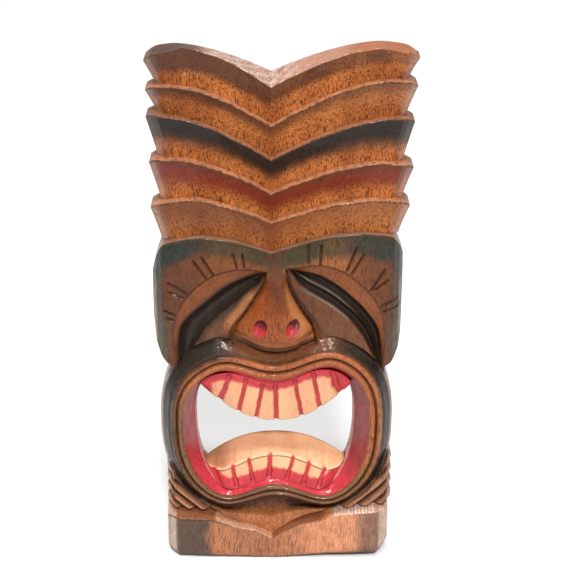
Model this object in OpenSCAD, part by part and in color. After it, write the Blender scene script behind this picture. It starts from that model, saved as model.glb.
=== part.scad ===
// Carved wooden tiki mask that hangs on a wall.
// The flat sawn back lies in the plane y = 0 and the carved face looks along -Y, +Z up.
// The origin is the middle of the back. Every carved element is a solid of its own, and
// neighbours share the same dividing surface, because they are all cut from one block.

/* [Block] */
// Height from the base to the top of the crown
mask_h = 508; // [504:1:516]
// Width across the top of the crown
crown_w = 250; // [236:1:260]
// Depth of the block at its proudest edges
block_d = 50; // [46:1:56]
// How much shallower the proud edges are at the outer ends than in the middle
side_fall = 6; // [0:1:10]
// Where the carved centre line lies, sideways of the middle of the crown
notch_x = -10; // [-12:1:0]
// Width of the chamfer down each outer corner of the crown
corner_cut = 12; // [6:1:16]

/* [Crown] */
// Depth of each tier at its recessed lower edge
tier_foot_d = 35; // [30:1:42]
// How much narrower each tier is at its foot, each side
tier_taper = 9.5; // [4:0.5:12]
// How fast an arch falls away from its peak into the notch
arch_power = 1.6; // [1.4:0.1:2]

/* [Face] */
// Half width of the brow panel
face_half_w = 118; // [112:1:120]
// Depth of the brow
brow_d = 46; // [42:1:48]
// Depth of the lid band between the arc over the eye and the slit
lid_d = 42; // [38:1:44]
// Depth of the lower eye plane
eye_d = 33; // [28:1:36]
// Depth of the seat behind the nose
nose_seat_d = 30; // [26:1:32]
// Depth at the tip of the nose
nose_d = 54; // [50:1:58]
// Radius of a nostril
nostril_r = 7; // [5:0.5:8]

/* [Mouth] */
// Sideways place of the middle of the mouth
mouth_x = -5; // [-6:1:0]
// Height of the middle of the mouth
mouth_z = -110; // [-112:1:-108]
// Depth of the lip at its proudest bead
lip_d = 47; // [44:1:50]
// Depth of the teeth at the gum
gum_d = 38; // [34:1:40]
// Depth of the teeth at their tips
tooth_tip_d = 34; // [30:1:36]
// Width of the groove between two teeth
tooth_gap = 4.5; // [3:0.5:6]

/* [Base] */
// Depth of the recessed chin
chin_d = 31; // [28:1:36]
// Height of the foot block's level shoulders above its lower edge
base_h = 47; // [42:1:50]
// Half width of the foot block
base_half_w = 109; // [104:1:112]

/* [Hanger] */
// Height of the hinge of the D-ring
hinge_z = 140; // [138:1:144]
// Diameter of the ring's wire
wire_d = 2.5; // [2:0.1:3]
// Width inside the ring
ring_inner_w = 20; // [18:1:24]
// Thickness of the strap's sheet
sheet_t = 1; // [0.8:0.1:1.2]
// Width of the strap
strap_w = 12; // [10:1:14]
// Depth of the gouged pocket in the back
pocket_d = 6; // [5.5:0.5:7]

/* [Hidden] */
$fn = 48;

top_z = mask_h / 2;
bottom_z = -mask_h / 2;
base_top_z = bottom_z + base_h;
tier_top_half = crown_w / 2;
lean_x = mouth_x + 1;

// Stained wood, airbrushed bands, painted mouth and plated steel.
wood = [0.66, 0.38, 0.20];
dark_wood = [0.45, 0.26, 0.15];
black_wash = [0.17, 0.13, 0.10];
red_wash = [0.58, 0.24, 0.17];
green_wash = [0.36, 0.33, 0.22];
tooth_tan = [0.90, 0.68, 0.48];
steel = [0.75, 0.75, 0.76];

// The six lines that part the tiers, from the crown's top to the top of the brow: height at the
// notch, then rise and distance of the peak on the left, then rise and distance on the right.
arch_lines = [
    [222, 32, 76, 32, 100],
    [185, 36, 88, 41, 106],
    [154, 39, 94, 37, 108],
    [122, 31, 88, 28, 100],
    [94, 21, 74, 21, 94],
    [63, 15, 62, 19, 84]];

// Past this distance from the middle an arch runs on straight, so that tiers of unlike width
// still share one plane there.
arch_end = 100;

function arch_rise(s, rise, peak) = rise * (1 - pow(abs(peak - s) / peak, arch_power));

function arch_curve(line, x) =
    x < notch_x ? line[0] + arch_rise(notch_x - x, line[1], line[2])
                : line[0] + arch_rise(x - notch_x, line[3], line[4]);

// Height of dividing line k at x, straight past the arch's ends.
function arch_z(k, x) =
    let(line = arch_lines[k], side = x < 0 ? -arch_end : arch_end)
    abs(x) <= arch_end ? arch_curve(line, x)
        : arch_curve(line, side) + (arch_curve(line, side) - arch_curve(line, side * 0.97))
            / (side * 0.03) * (x - side);

// The top edge of the crown at its back, which falls less into the notch than the front edge.
function crown_back_z(x) =
    let(s = x - notch_x)
    s < 0 ? 226 + arch_rise(-s, 26, 88) : 226 + arch_rise(s, 28, 100);

// Places across the block where every dividing line has a corner, the notch among them.
left_steps = 9;
right_steps = 11;
inner_x = concat(
    [for (i = [0:left_steps - 1]) -arch_end + i * (notch_x + arch_end) / left_steps],
    [for (i = [0:right_steps]) notch_x + i * (arch_end - notch_x) / right_steps]);

// The corners from the left end to the right end of a band that reaches w each side.
function band_x(w) = concat([-w, -w + corner_cut], inner_x, [w - corner_cut, w]);

// A proud edge is deepest in the middle of the block and loses the corner cut at its ends.
function edge_d(depth, x, w) =
    depth - side_fall * pow(x / w, 2) - (abs(x) >= w ? corner_cut : 0);

// Solid through a row of closed sections that all have the same number of points.
module loft(sections, ring = false) {
    n = len(sections);
    m = len(sections[0]);
    joins = ring ? n : n - 1;
    walls = [for (i = [0:joins - 1], j = [0:m - 1])
        [i * m + j, i * m + (j + 1) % m, ((i + 1) % n) * m + (j + 1) % m, ((i + 1) % n) * m + j]];
    ends = ring ? [] : [[for (j = [m - 1:-1:0]) j], [for (j = [0:m - 1]) (n - 1) * m + j]];
    polyhedron(points = [for (s = sections, p = s) p], faces = concat(walls, ends), convexity = 8);
}

// A flat outline in x and z, given thickness from y = -depth to y = -from.
module slab(outline, depth, from = 0) {
    translate([0, -from, 0]) rotate([90, 0, 0]) linear_extrude(depth - from) polygon(outline);
}

// ---- Crown ----

// One section through tier k: the scooped front falls back from its proud top edge to its foot.
function tier_section(k, i) =
    let(w = tier_top_half - k, foot_w = w - tier_taper,
        x = band_x(w)[i], foot_x = band_x(foot_w)[i],
        zt = arch_z(k, x), zb = arch_z(k + 1, foot_x),
        dt = edge_d(block_d, x, w), db = edge_d(tier_foot_d, foot_x, foot_w) + side_fall * pow(foot_x / foot_w, 2) / 2)
    [[x, 0, k == 0 ? crown_back_z(x) : zt],
     [x, -dt, zt],
     [mix(x, foot_x, 0.35), -mix(dt, db, 0.5), mix(zt, zb, 0.35)],
     [mix(x, foot_x, 0.7), -mix(dt, db, 0.88), mix(zt, zb, 0.7)],
     [foot_x, -db, zb],
     [foot_x, 0, zb]];

function mix(a, b, t) = a + (b - a) * t;

module tier(k) {
    difference() {
        loft([for (i = [0:len(inner_x) + 3]) tier_section(k, i)]);
        if (k > 0 && k < 4) hanger_pocket();
        if (k == 2 || k == 3) pilot_holes();
    }
}

module crown_tier_1() { color(dark_wood) tier(0); }
module crown_tier_2() { color(wood) tier(1); }
module crown_tier_3() { color(black_wash) tier(2); }
module crown_tier_4() { color(red_wash) tier(3); }
module crown_tier_5() { color(wood) tier(4); }

// ---- Mouth outlines ----

// One closed mouth-shaped line: squarish, with a dip in the top and a rise in the bottom.
mouth_n = 72;
mouth_square = 2.6;
dip_half_w = 62;

function soft_power(v) = sign(v) * pow(abs(v), 2 / mouth_square);
function bump(x) = abs(x) < dip_half_w ? (1 + cos(180 * x / dip_half_w)) / 2 : 0;

function mouth_point(half_w, up, dip, down, rise, i, shift = 0) =
    let(t = 360 * i / mouth_n, x = half_w * soft_power(cos(t)),
        z = (sin(t) > 0 ? up : down) * soft_power(sin(t)),
        swing = sin(t) > 0 ? -dip : rise)
    [mouth_x + shift + x, mouth_z + z + swing * bump(x)];

// The cheek line that the other elements meet, the lip's bead line and the hole through the block.
function cheek_point(i) = mouth_point(113, 92, 20, 101, 15, i);
function bead_point(i) = mouth_point(103, 84, 20, 94, 17, i);
function rim_point(i) = mouth_point(90, 71, 27, 102, 36, i);
function hole_point(i) = mouth_point(77, 69, 29, 100, 36, i, -2);

// Indices on those lines, counted from the right-hand corner of the mouth round by the top.
face_right_i = 5;
face_left_i = 31;
leaf_left_top_i = 40;
leaf_left_foot_i = 49;
leaf_right_foot_i = 59;
leaf_right_top_i = 69;

function cheek_run(first, last) =
    first < last ? [for (i = [first:last]) cheek_point(i)] : [for (i = [first:-1:last]) cheek_point(i)];

// ---- Brow panel ----

face_top = concat([for (x = concat([-face_half_w + lean_x + 14], inner_x, [face_half_w + lean_x - 12]))
    [x, arch_z(5, x)]]);

face_outline = concat(
    face_top,
    [[face_half_w + lean_x, arch_z(5, face_half_w + lean_x - 12) - 16], [face_half_w + lean_x, 30], [face_half_w - 3 + lean_x, -25],
     [face_half_w - 6 + lean_x, -42]],
    cheek_run(face_right_i, face_left_i),
    [[-face_half_w + 7 + lean_x, -44], [-face_half_w + 3 + lean_x, -25], [-face_half_w + lean_x, 20],
     [-face_half_w + lean_x, 46], [-face_half_w + 4 + lean_x, arch_z(5, -face_half_w + lean_x + 14) - 8]]);

// The block's corners are cut back all the way down both sides.
module side_chamfers(half_w, depth, shift) {
    translate([shift, 0, bottom_z - 5]) linear_extrude(mask_h + 10) polygon([
        [-half_w, 0], [half_w, 0], [half_w, -depth + 16], [half_w - corner_cut, -depth + 2],
        [half_w - 50, -depth], [-half_w + 50, -depth], [-half_w + corner_cut, -depth + 2], [-half_w, -depth + 16]]);
}

// Each eye is told by the arc over its lid, the slit and the plane below the slit.
left_arc = [[-13, 44], [-36, 47], [-51, 45], [-65, 40], [-77, 32], [-87, 22], [-96, 9], [-101, -6], [-103, -22], [-102, -38]];
left_slit = [[-18, 39], [-36, 37], [-54, 27], [-70, 14], [-86, 0], [-96, -14], [-99, -30]];
left_low = [[-92, -41], [-80, -34], [-66, -28], [-55, -23]];
left_nose_line = [[-46, -10], [-36, 3], [-27, 17], [-18, 32]];
right_arc = [[8, 48], [32, 51], [46, 49], [60, 43], [74, 32], [84, 21], [92, 8], [96, -6], [98, -22], [97, -34]];
right_slit = [[11, 43], [27, 41], [41, 35], [56, 25], [74, 11], [86, -3], [93, -18], [96, -33]];
right_low = [[88, -37], [78, -33], [66, -27], [52, -22], [42, -19]];
right_nose_line = [[33, -9], [22, 6], [11, 24], [6, 38]];

function reversed(list) = [for (i = [len(list) - 1:-1:0]) list[i]];

module eye(arc, slit, low, nose_line) {
    slab(concat(arc, reversed(slit)), block_d, lid_d);
    slab(concat(slit, low, nose_line), block_d, eye_d);
}

// A gouge cut: a rod from a to b, each an [x, y, z], that sinks into the wood.
module gouge(a, b, r) {
    run = b - a;
    translate(a) rotate([0, acos(run[2] / norm(run)), atan2(run[1], run[0])]) cylinder(h = norm(run), r = r, $fn = 24);
}

lash_depth = 2.5;
left_lashes = [[[-46, 62], [-42, 49]], [[-37, 62], [-35, 49]], [[-83, 55], [-73, 40]], [[-75, 59], [-64, 42]],
    [[-107, 33], [-90, 23]], [[-107, 24], [-94, 19]], [[-111, 5], [-101, 1]], [[-109, -2], [-103, -4]]];
right_lashes = [[[25, 71], [25, 53]], [[37, 71], [36, 52]], [[69, 69], [61, 46]], [[76, 62], [65, 42]],
    [[97, 47], [84, 26]], [[100, 34], [86, 24]], [[109, 18], [94, 10]], [[111, 10], [97, 5]]];

module lashes(list) {
    for (l = list) gouge([l[0][0], -brow_d - 2 + lash_depth, l[0][1]], [l[1][0], -brow_d - 2 + lash_depth, l[1][1]], 2.4);
}

module face_panel() {
    color(green_wash) difference() {
        intersection() {
            slab(face_outline, brow_d);
            side_chamfers(face_half_w, brow_d, lean_x);
        }
        eye(left_arc, left_slit, left_low, left_nose_line);
        eye(right_arc, right_slit, right_low, right_nose_line);
        gouge([-22, -eye_d - 2, 36], [-92, -eye_d - 2, -28], 8);
        gouge([20, -eye_d - 2, 34], [86, -eye_d - 2, -25], 8);
        lashes(left_lashes);
        lashes(right_lashes);
        slab(nose_outline, block_d, nose_seat_d);
    }
}

// ---- Nose ----

nose_foot = [for (i = [21:-1:15]) cheek_point(i)];
nose_outline = concat([[-14, 44], [-18, 32], [-27, 17], [-36, 3], [-46, -10]], nose_foot, [[33, -9], [22, 6], [11, 24], [6, 38], [4, 46]]);
nose_ridge = [[-7, 38], [-15, 8], [-26, -18], [-18, -31], [-4, -34], [10, -31], [20, -18], [8, 8], [-2, 38]];
bridge_d = 45;

module nose() {
    color(wood) difference() {
        intersection() {
            slab(nose_outline, nose_d, nose_seat_d);
            hull() {
                slab(nose_outline, nose_seat_d + 8, nose_seat_d);
                slab([[-8, 42], [-3, 43], [-2, 38], [-9, 38]], bridge_d, nose_seat_d);
                slab(nose_ridge, nose_d - 1, nose_seat_d + 8);
                slab([[-22, -14], [-16, -28], [-4, -31], [8, -28], [16, -14]], nose_d, nose_seat_d + 8);
            }
        }
        for (x = [-22, 7]) translate([x, -nose_d - 2, -8]) rotate([-70, 0, 0]) cylinder(h = 12, r = nostril_r);
    }
}

// ---- Lips and teeth ----

// The section of the lip: cheek, outer slope, three beads, then the painted inner wall that
// slopes in towards the hole at the sides and stands straight behind the gums.
function lip_section(i) =
    let(cheek = cheek_point(i), bead = bead_point(i), rim = rim_point(i), hole = hole_point(i),
        side = pow(abs(cos(360 * i / mouth_n)), 3),
        wall_d = mix(gum_d, 8, side),
        cheek_d = mix(34, 24, side))
    [lift(cheek, 0), lift(cheek, cheek_d), lift(bead, lip_d - 4),
     lift(mix(bead, rim, 0.25), lip_d), lift(mix(bead, rim, 0.42), lip_d - 3),
     lift(mix(bead, rim, 0.6), lip_d - 0.5), lift(mix(bead, rim, 0.72), lip_d - 3.5), lift(mix(bead, rim, 0.92), lip_d - 3),
     lift(rim, lip_d - 6), lift(hole, wall_d), lift(hole, 0)];

function lift(p, depth) = [p[0], -depth, p[1]];

module lip_ring() {
    color(wood) loft([for (i = [mouth_n - 1:-1:0]) lip_section(i)], ring = true);
}

// The first and last corner of the hole that the teeth meet.
upper_right_i = 6;
upper_left_i = 30;
lower_left_i = 42;
lower_right_i = 66;

// Heights of the free edges of the teeth, which curve up and down to the corners of the mouth.
tooth_mid_x = mouth_x - 1;
function upper_edge_z(x) = -111 + 34 * pow(abs(x - tooth_mid_x) / 66, 2.2);
function lower_edge_z(x) = -137 - 27 * pow(abs(x - tooth_mid_x) / 70, 2.2);

function upper_section(i) =
    let(gum = hole_point(i), low = min(upper_edge_z(gum[0]), gum[1] - 1))
    [lift(gum, 0), lift(gum, gum_d), lift([gum[0], mix(gum[1], low, 0.3)], gum_d - 0.5),
     lift([gum[0], low], tooth_tip_d), lift([gum[0], low + 2], 0)];

function lower_section(i) =
    let(gum = hole_point(i), high = max(lower_edge_z(gum[0]), gum[1] + 3))
    [lift(gum, 0), lift([gum[0], high], 0), lift([gum[0], mix(high, gum[1], 0.25)], tooth_tip_d),
     lift([gum[0], mix(high, gum[1], 0.7)], gum_d - 0.5), lift(gum, gum_d)];

upper_gaps = [-55, -39, -22, -6, 16, 34, 51];
lower_gaps = [-63, -46, -30, -12, 8, 24, 39];

// A groove between two teeth fans outwards towards the biting edge, more the farther it is from the middle.
module tooth_grooves(places, z, length, lean) {
    for (x = places) translate([x, -gum_d - 1.5, z]) rotate([0, lean * (x - tooth_mid_x), 0])
        rotate([0, 0, 45]) translate([0, 0, -length / 2]) linear_extrude(length) square(tooth_gap, center = true);
}

module upper_teeth() {
    color(tooth_tan) difference() {
        loft([for (i = [upper_right_i:upper_left_i]) upper_section(i)]);
        tooth_grooves(upper_gaps, -92, 60, -0.5);
    }
}

module lower_teeth() {
    color(tooth_tan) difference() {
        loft([for (i = [lower_left_i:lower_right_i]) lower_section(i)]);
        tooth_grooves(lower_gaps, -158, 36, 0.42);
    }
}

// ---- Side leaves, chin and foot ----

foot_right_x = lean_x + base_half_w;
foot_left_x = lean_x - base_half_w;

// Four rounded leaf tips down each outer edge, the first at top_z.
leaf_count = 4;
leaf_depth = 41;
leaf_notch = 3.5;
left_leaf_z = -158;
right_leaf_z = -148;
function leaf_pitch(top_z) = (top_z - base_top_z) / leaf_count;
function leaf_edge(x, side, top_z) = [for (j = [0:leaf_count - 1]) each
    let(p = leaf_pitch(top_z), z = top_z - j * p) [[x, z], [x + side * 0.5, z - 0.35 * p], [x - side * leaf_notch, z - 0.75 * p]]];

module leaf_cuts(x, side, top_z) {
    for (j = [1:leaf_count]) let(z = top_z - (j - 0.25) * leaf_pitch(top_z))
        gouge([x + side * 6, -leaf_depth - 1, z + 3], [x - side * 24, -leaf_depth - 1, z - 12], 4);
}

module leaves(top_i, foot_i, x, side, top_z) {
    difference() {
        intersection() {
            slab(concat([[cheek_point(foot_i)[0], base_top_z]], cheek_run(foot_i, top_i),
                leaf_edge(x, side, top_z), [[x, base_top_z]]), leaf_depth);
            side_chamfers(base_half_w + 5, leaf_depth, lean_x);
        }
        leaf_cuts(x, side, top_z);
    }
}

module leaves_left() {
    color(dark_wood) leaves(leaf_left_top_i, leaf_left_foot_i, foot_left_x, -1, left_leaf_z);
}

module leaves_right() {
    color(dark_wood) leaves(leaf_right_top_i, leaf_right_foot_i, foot_right_x + 3, 1, right_leaf_z);
}

// The chevron under the chin, from its left shoulder to its right one.
chin_left_x = cheek_point(leaf_left_foot_i)[0];
chin_right_x = cheek_point(leaf_right_foot_i)[0];
chevron = [[chin_left_x, base_top_z], [-60, base_top_z - 8], [-40, base_top_z - 11], [-23, base_top_z - 14],
    [notch_x, base_top_z - 24], [4, base_top_z - 14], [20, base_top_z - 8], [chin_right_x, base_top_z]];

module chin() {
    color(dark_wood) slab(concat(chevron, cheek_run(leaf_right_foot_i, leaf_left_foot_i)), chin_d);
}

module base_block() {
    corner = 7;
    color(wood) intersection() {
        slab(concat([[foot_left_x, base_top_z]], chevron, [[foot_right_x, base_top_z],
            [foot_right_x, bottom_z + 18], [foot_right_x - 4, bottom_z + corner], [foot_right_x - 12, bottom_z + 3],
            [40, bottom_z + 2], [-5, bottom_z], [-60, bottom_z + 1], [foot_left_x + 6, bottom_z + 2],
            [foot_left_x, bottom_z + corner]]), block_d - 1);
        side_chamfers(base_half_w, block_d - 1, lean_x);
    }
}

// ---- Hanger ----

running_gap = 0.08;
eye_r = wire_d / 2 + running_gap;
eye_outer_r = eye_r + sheet_t;
hinge_y = -pocket_d + eye_outer_r;
plate_t = 2 * sheet_t;
plate_h = 34;
screw_z = [hinge_z - 14, hinge_z - 27];
screw_r = 1.75;
screw_head_r = 3.2;
screw_head_h = 1.4;
screw_len = 14;
pilot_r = screw_r;
pocket_half_w = 17;
pocket_foot_z = hinge_z - 40;
pocket_top_z = hinge_z + 32;
ring_bend_r = 3;
ring_leg = 4;
ring_half_w = (ring_inner_w + wire_d) / 2;

module hanger_pocket() {
    slab([[-pocket_half_w, pocket_foot_z], [pocket_half_w, pocket_foot_z],
        [pocket_half_w, pocket_top_z - pocket_half_w / 2], [pocket_half_w / 2, pocket_top_z],
        [-pocket_half_w / 2, pocket_top_z], [-pocket_half_w, pocket_top_z - pocket_half_w / 2]], pocket_d, -1);
}

module pilot_holes() {
    for (z = screw_z) translate([0, 0, z]) rotate([90, 0, 0]) cylinder(h = pocket_d + screw_len + 1, r = pilot_r);
}

// The sheet is folded round the ring's straight side and its two layers lie on the pocket's floor.
module hanger_strap() {
    color(steel) difference() {
        union() {
            translate([-strap_w / 2, -pocket_d, hinge_z - plate_h]) cube([strap_w, plate_t, plate_h]);
            translate([-strap_w / 2, hinge_y, hinge_z]) rotate([0, 90, 0]) cylinder(h = strap_w, r = eye_outer_r);
        }
        translate([-strap_w / 2 - 1, hinge_y, hinge_z]) rotate([0, 90, 0]) cylinder(h = strap_w + 2, r = eye_r);
        for (z = screw_z) translate([0, 0, z]) rotate([90, 0, 0]) cylinder(h = pocket_d + 1, r = screw_r + 0.25);
    }
}

module ring_bend(side) {
    translate([side * (ring_half_w - ring_bend_r), hinge_y, hinge_z + ring_bend_r]) rotate([90, 0, 0])
        rotate([0, 0, side > 0 ? -90 : 180]) rotate_extrude(angle = 90) translate([ring_bend_r, 0]) circle(d = wire_d);
}

module hanger_ring() {
    bar_half = ring_half_w - ring_bend_r;
    leg_top = ring_bend_r + ring_leg;
    color(steel) union() {
        translate([-bar_half, hinge_y, hinge_z]) rotate([0, 90, 0]) cylinder(h = 2 * bar_half, d = wire_d);
        for (side = [-1, 1]) {
            ring_bend(side);
            translate([side * ring_half_w, hinge_y, hinge_z + ring_bend_r]) cylinder(h = ring_leg, d = wire_d);
        }
        translate([0, hinge_y, hinge_z + leg_top]) rotate([90, 0, 0])
            rotate_extrude(angle = 180) translate([ring_half_w, 0]) circle(d = wire_d);
    }
}

// Pan-head screws: the shanks fill their pilot holes and the heads clamp the strap.
module hanger_screws() {
    head_y = -pocket_d + plate_t;
    color(steel) for (z = screw_z) translate([0, head_y, z]) rotate([90, 0, 0]) union() {
        translate([0, 0, -screw_head_h]) cylinder(h = screw_head_h, r = screw_head_r);
        cylinder(h = plate_t + screw_len, r = screw_r);
    }
}

crown_tier_1();
crown_tier_2();
crown_tier_3();
crown_tier_4();
crown_tier_5();
face_panel();
nose();
lip_ring();
upper_teeth();
lower_teeth();
leaves_left();
leaves_right();
chin();
base_block();
hanger_strap();
hanger_ring();
hanger_screws();
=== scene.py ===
"""Carved wooden tiki mask: detailed carving, painted and varnished, with its wall hanger."""
from functools import partial
from math import pi, radians

import bpy
import numpy as np
from mathutils import Matrix, Vector
from numpy import cos, interp, maximum, minimum, sin, where


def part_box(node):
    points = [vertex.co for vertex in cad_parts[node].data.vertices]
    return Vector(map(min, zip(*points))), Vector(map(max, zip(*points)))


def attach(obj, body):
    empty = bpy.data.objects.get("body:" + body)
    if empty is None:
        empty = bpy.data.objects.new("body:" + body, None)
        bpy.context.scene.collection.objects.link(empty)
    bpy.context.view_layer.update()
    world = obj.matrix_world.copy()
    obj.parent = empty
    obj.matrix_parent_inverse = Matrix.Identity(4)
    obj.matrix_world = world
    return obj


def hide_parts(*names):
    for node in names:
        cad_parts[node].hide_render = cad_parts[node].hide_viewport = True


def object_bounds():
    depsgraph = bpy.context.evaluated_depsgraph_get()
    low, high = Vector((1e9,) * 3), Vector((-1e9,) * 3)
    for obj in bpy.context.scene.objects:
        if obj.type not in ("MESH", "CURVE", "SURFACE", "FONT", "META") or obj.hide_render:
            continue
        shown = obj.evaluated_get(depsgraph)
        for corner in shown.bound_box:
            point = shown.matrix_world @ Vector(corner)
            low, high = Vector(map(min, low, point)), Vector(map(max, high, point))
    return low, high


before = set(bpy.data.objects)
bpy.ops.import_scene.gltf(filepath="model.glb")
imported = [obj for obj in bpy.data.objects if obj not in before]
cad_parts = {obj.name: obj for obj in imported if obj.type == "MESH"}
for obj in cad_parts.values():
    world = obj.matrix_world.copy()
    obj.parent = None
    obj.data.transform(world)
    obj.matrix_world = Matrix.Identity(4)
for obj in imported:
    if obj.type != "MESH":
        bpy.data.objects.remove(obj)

bl_info = {
    "name": "Carved Tiki Mask",
    "version": (1, 0, 0),
    "blender": (4, 5, 0),
    "location": "View3D > Sidebar > Tiki Mask",
    "description": "Carves a stained and painted wooden tiki mask and fits its wall hanger",
    "category": "Add Mesh",
}

MM = 0.001
CAD_BOX = [list(corner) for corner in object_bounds()]


def node_box(node):
    """Lowest and highest corner of a CAD node, in millimetres."""
    low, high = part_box(node)
    return np.array(low) / MM, np.array(high) / MM


CROWN_LOW = node_box("crown_tier_1")[0]
BASE_LOW, BASE_HIGH = node_box("base_block")
BROW_LOW = node_box("face_panel")[0]
LIP_LOW = node_box("lip_ring")[0]


# ---- Settings ----

def length(label, text, value):
    return bpy.props.FloatProperty(name=label, description=text, default=value * MM, min=0, unit="LENGTH")


def share(label, text, value):
    return bpy.props.FloatProperty(
        name=label, description=text, default=value, min=0, max=1, subtype="FACTOR")


def strength(label, text, value):
    return bpy.props.FloatProperty(name=label, description=text, default=value, min=0)


def colour(label, text, value):
    return bpy.props.FloatVectorProperty(
        name=label, description=text, default=value, size=3, min=0, max=1, subtype="COLOR")


class TIKI_PG_carving(bpy.types.PropertyGroup):
    """Sizes of the cuts"""
    proud_depth: length("Proud depth", "Depth of a tier at its proud upper edge", -CROWN_LOW[1])
    foot_depth: length("Foot depth", "Depth of a tier at its recessed foot", 35)
    corner_cut: length("Corner cut", "Width of the chamfer down each outer corner", 11)
    brow_depth: length("Brow depth", "Depth of the brow", -BROW_LOW[1])
    lip_depth: length("Lip depth", "Depth of the lip at its proudest bead", -LIP_LOW[1])
    tool_mark: length("Tool mark", "Height of the unevenness that the gouge leaves", 0.35)
    tooth_gap: length("Tooth gap", "Width of the painted groove between two teeth", 4.6)


class TIKI_PG_finish(bpy.types.PropertyGroup):
    """Colours and gloss"""
    wood_light: colour("Light wood", "Stained wood where the grain is open", (0.61, 0.21, 0.056))
    wood_mid: colour("Wood", "Stained wood", (0.365, 0.108, 0.029))
    wood_dark: colour("Dark grain", "Pores and dark fibres", (0.056, 0.018, 0.007))
    burnt_brown: colour("Burnt brown", "Dark brown airbrushed stain", (0.06, 0.02, 0.009))
    # Black airbrushed paint; the same black also paints the shadow in the chin's recess.
    black_wash: colour("Black", "Black airbrushed band", (0.009, 0.008, 0.006))
    red_wash: colour("Red", "Red airbrushed band", (0.15, 0.015, 0.007))
    crimson: colour("Crimson", "Gloss paint on the gums", (0.44, 0.028, 0.042))
    tooth_tan: colour("Tooth", "Pale bare wood of the teeth", (0.76, 0.38, 0.21))
    raw_wood: colour("Raw wood", "Sawn back without stain", (0.47, 0.3, 0.17))
    varnish: share("Varnish", "How much clear varnish lies on the wood", 0.34)
    steel: colour("Steel", "Zinc plated steel", (0.62, 0.63, 0.62))


class TIKI_PG_stage(bpy.types.PropertyGroup):
    """Camera and light"""
    camera_height: bpy.props.FloatProperty(
        name="Camera height", description="Angle of the camera above the mask", default=radians(20),
        subtype="ANGLE")
    camera_distance: length("Camera distance", "How far the camera stands", 1600)
    lens: bpy.props.FloatProperty(
        name="Lens", description="Focal length in millimetres", default=104.6, min=20)
    key_power: strength("Key light", "Strength of the broad soft key light", 3.05)
    strip_power: strength("Strip light", "Power of the overhead strip", 20)
    room_light: strength("Room light", "Strength of the pale room", 0.44)


def carving():
    return bpy.context.scene.tiki_carving


def finish():
    return bpy.context.scene.tiki_finish


# ---- Shared lines of the carving, in millimetres ----

NOTCH_X = -10.0
MIDDLE_X = -4.0
ARCH_POWER = 1.6
ARCH_END = 100.0
SIDE_FALL = 6.0
TIER_TAPER = 9.5

# Each dividing line of the crown, from the top of the first tier to the top of the brow: height at
# the notch, then rise and distance of the peak on the left, then on the right.
ARCH_LINES = (
    (222, 34, 76, 34, 96),
    (185, 36, 88, 41, 106),
    (154, 39, 94, 37, 108),
    (122, 31, 88, 28, 100),
    (94, 21, 74, 21, 94),
    (63, 15, 62, 19, 84),
)


def mix(a, b, t):
    return a + (b - a) * t


def unit(value):
    """Keeps a value between 0 and 1."""
    return np.clip(value, 0, 1)


def ease(low, high, value):
    """0 below low, 1 above high and a smooth rise between them."""
    t = unit((value - low) / (high - low))
    return t * t * (3 - 2 * t)


def arch_rise(s, rise, peak):
    return rise * (1 - abs((peak - s) / peak) ** ARCH_POWER)


def arch_curve(line, x):
    left = line[0] + arch_rise(NOTCH_X - x, line[1], line[2])
    right = line[0] + arch_rise(x - NOTCH_X, line[3], line[4])
    return where(x < NOTCH_X, left, right)


def arch_z(k, x):
    """Height of dividing line k, running on straight past its ends."""
    line = ARCH_LINES[k]
    side = where(x < 0, -ARCH_END, ARCH_END)
    slope = (arch_curve(line, side) - arch_curve(line, side * 0.97)) / (side * 0.03)
    straight = arch_curve(line, side) + slope * (x - side)
    return where(abs(x) <= ARCH_END, arch_curve(line, np.clip(x, -ARCH_END, ARCH_END)), straight)


def cut_line(k, x):
    """Dividing line k as the gouge left it."""
    return arch_z(k, x) + 0.7 * wobble(x, 0, 60, k + 3)


def wobble(a, b, size, seed):
    """Smooth unevenness between -1 and 1, about size millimetres from crest to crest."""
    total = 0
    for k in range(5):
        turn = seed * 1.7 + k * 2.4
        waves = (1 + 0.41 * k) / size
        along = a * cos(turn) + b * sin(turn)
        total = total + sin(along * 2 * pi * waves + seed * 3.1 + k * 1.3 + sin(along / size + seed))
    return total / 5


def down_rows(v, ledge_rows, edge_rows):
    """Shares of the way along a ledge, round its front edge and down the face below it."""
    turn = unit((v - ledge_rows) / (edge_rows - ledge_rows))
    return unit(v / ledge_rows), turn, unit((v - edge_rows) / (1 - edge_rows))


# ---- Sheets ----

WELD = 2e-6
SHARP_ANGLE = radians(42)


def only(obj):
    """Makes one object the active and only selected one."""
    bpy.ops.object.select_all(action="DESELECT")
    obj.select_set(True)
    bpy.context.view_layer.objects.active = obj


def coordinates(mesh):
    values = np.empty(len(mesh.vertices) * 3)
    mesh.vertices.foreach_get("co", values)
    return values.reshape(-1, 3)


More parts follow.
